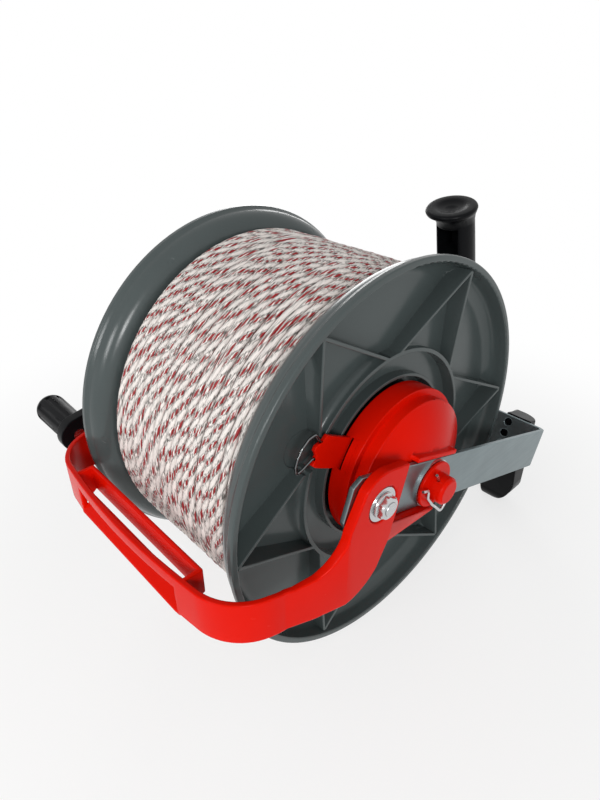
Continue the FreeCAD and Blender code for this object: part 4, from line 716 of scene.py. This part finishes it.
class REEL_OT_hub(bpy.types.Operator):
    """Finishes the gear cover, the gears and the lock"""

    bl_idname = "reel.hub"
    bl_label = "Hub, gears and lock"

    def execute(self, context):
        finish_nodes("ring_gear", "sun_gear", "planet_gear_1", "planet_gear_2", "planet_gear_3",
                     "axle_washer", "lock_pin", "sun_screws", "r_clip", "planet_carrier", "planet_pins",
                     "cross_pins", "lock_wire", "front_bush", "rear_bush", "spacer_sleeve", "crank_shaft")
        softened("cap_moulding")
        softened("cover_moulding", after=close_window)
        softened("lever_moulding", before=dip_lever)
        return {"FINISHED"}


class REEL_OT_crank(bpy.types.Operator):
    """Finishes the crank arm and its knob"""

    bl_idname = "reel.crank"
    bl_label = "Crank"

    def execute(self, context):
        finish_nodes("crank_bolt", "crank_washer", "knob_spindle")
        for name in ("arm_moulding", "knob_moulding"):
            softened(name)
        return {"FINISHED"}


# The camera sees the reel as the photograph does: its place in millimetres, its view and its upward side.
CAMERA_PLACE = Vector((-237.0, -242.7, 341.8))
CAMERA_VIEW = Vector((0.5866, 0.6212, -0.5196)).normalized()
CAMERA_UP = Vector((0.3567, 0.3778, 0.8544))
LAMP_TARGET = Vector((0.02, 0, 0.12))
LAMPS = {
    # lamp: (place in metres, side in metres, share of the lamp level)
    "key_lamp": ((-0.95, -1.25, 0.75), 0.4, 2.0),
    "side_lamp": ((-1.3, -0.1, 0.7), 0.35, 1.0),
    "back_lamp": ((1.15, 1.4, 0.45), 0.8, 1.2),
}


def put(name, data, matrix):
    """Puts a camera, lamp or stage mesh in the scene."""
    thing = bpy.data.objects.new(name, data)
    thing.matrix_world = matrix
    bpy.context.scene.collection.objects.link(thing)
    return thing


def seen_directly(tree):
    """1 for what the camera sees, in gloss and through glass too, and 0 for soft light on the reel."""
    path = add_node(tree, "ShaderNodeLightPath")
    mirrored = add_node(tree, "ShaderNodeMath", {0: path.outputs["Is Camera Ray"],
                                                 1: path.outputs["Is Glossy Ray"]}, operation="MAXIMUM")
    return add_node(tree, "ShaderNodeMath", {0: mirrored, 1: path.outputs["Is Transmission Ray"]},
                    operation="MAXIMUM")


def painted_floor(tone):
    """Matt paint that takes shadows near the reel and shows as plain white further off."""
    # In metres from under the axle: where the floor starts to turn whiter, and where it is all white.
    white_from, white_past = 0.18, 0.5
    white_at_reel = 0.7
    tree = new_tree("Matt painted studio floor")
    paint = add_node(tree, "ShaderNodeBsdfPrincipled", {"Base Color": rgba(tone), "Roughness": 0.9})
    place = add_node(tree, "ShaderNodeTexCoord")
    distance = add_node(tree, "ShaderNodeVectorMath", {0: place.outputs["Object"]}, operation="LENGTH")
    far = add_node(tree, "ShaderNodeMapRange",
                   {"Value": distance.outputs["Value"], "From Min": white_from, "From Max": white_past,
                    "To Min": white_at_reel}, interpolation_type="SMOOTHSTEP")
    pick = add_node(tree, "ShaderNodeMath", {0: seen_directly(tree), 1: far}, operation="MULTIPLY")
    white = add_node(tree, "ShaderNodeEmission", {"Strength": 1.0})
    shown = add_node(tree, "ShaderNodeMixShader", {0: pick, 1: paint, 2: white})
    add_node(tree, "ShaderNodeOutputMaterial", {"Surface": shown})
    return bpy.data.materials["Matt painted studio floor"]


class REEL_OT_stage(bpy.types.Operator):
    """Makes the camera, the floor and the studio light"""

    bl_idname = "reel.stage"
    bl_label = "Studio"

    def execute(self, context):
        scene = context.scene
        stage = scene.reel_stage
        scene.view_settings.view_transform = "Standard"
        lens = bpy.data.cameras.new("photo_camera")
        lens.sensor_fit = "VERTICAL"
        lens.sensor_height = 36
        lens.lens = stage.lens
        right = CAMERA_VIEW.cross(CAMERA_UP).normalized()
        turn = Matrix((right, right.cross(CAMERA_VIEW), -CAMERA_VIEW)).transposed().to_4x4()
        scene.camera = put("photo_camera", lens, Matrix.Translation(CAMERA_PLACE * MM) @ turn)

        half = 6
        corners = [(-half, -half, 0), (half, -half, 0), (half, half, 0), (-half, half, 0)]
        floor_mesh = bpy.data.meshes.new("floor")
        floor_mesh.from_pydata(corners, [], [(0, 1, 2, 3)])
        floor_mesh.materials.append(painted_floor(stage.floor))
        # A hair under the feet, so that the floor and the soles never share a face.
        floor = put("floor", floor_mesh, Matrix.Translation((0, 0, -0.05 * MM)))

        world = bpy.data.worlds.new("studio_sky")
        scene.world = world
        world.use_nodes = True
        tree = world.node_tree
        tree.nodes.clear()
        even = add_node(tree, "ShaderNodeBackground", {"Strength": stage.world, "Color": (1, 1, 1, 1)})
        white = add_node(tree, "ShaderNodeBackground", {"Strength": 1.0, "Color": (1, 1, 1, 1)})
        pick = add_node(tree, "ShaderNodeMixShader", {0: seen_directly(tree), 1: even, 2: white})
        add_node(tree, "ShaderNodeOutputWorld", {"Surface": pick})

        for name, (place, size, share) in LAMPS.items():
            lamp = bpy.data.lights.new(name, "AREA")
            lamp.energy = stage.lamp * share
            lamp.size = size
            aim = (LAMP_TARGET - Vector(place)).to_track_quat("-Z", "Y").to_matrix().to_4x4()
            put(name, lamp, Matrix.Translation(place) @ aim)
        return {"FINISHED"}


OPERATORS = (REEL_OT_stage, REEL_OT_rope, REEL_OT_spool, REEL_OT_frame, REEL_OT_hub, REEL_OT_crank)


class REEL_PT_panel(bpy.types.Panel):
    """Lists the reel's steps and settings"""

    bl_idname = "REEL_PT_panel"
    bl_label = "Fence reel"
    bl_space_type = "VIEW_3D"
    bl_region_type = "UI"
    bl_category = "Fence Reel"

    def draw(self, context):
        for name, group in GROUPS.items():
            box = self.layout.box()
            for item in group.__annotations__:
                box.prop(getattr(context.scene, name), item)
        for operator in OPERATORS:
            self.layout.operator(operator.bl_idname)


def register():
    for item in (*GROUPS.values(), *OPERATORS, REEL_PT_panel):
        bpy.utils.register_class(item)
    for name, group in GROUPS.items():
        setattr(bpy.types.Scene, name, PointerProperty(type=group))


def unregister():
    for name in GROUPS:
        delattr(bpy.types.Scene, name)
    for item in (REEL_PT_panel, *reversed(OPERATORS), *GROUPS.values()):
        bpy.utils.unregister_class(item)


def main():
    register()
    for operator in OPERATORS:
        group, name = operator.bl_idname.split(".")
        getattr(getattr(bpy.ops, group), name)()


if __name__ == "__main__":
    main()
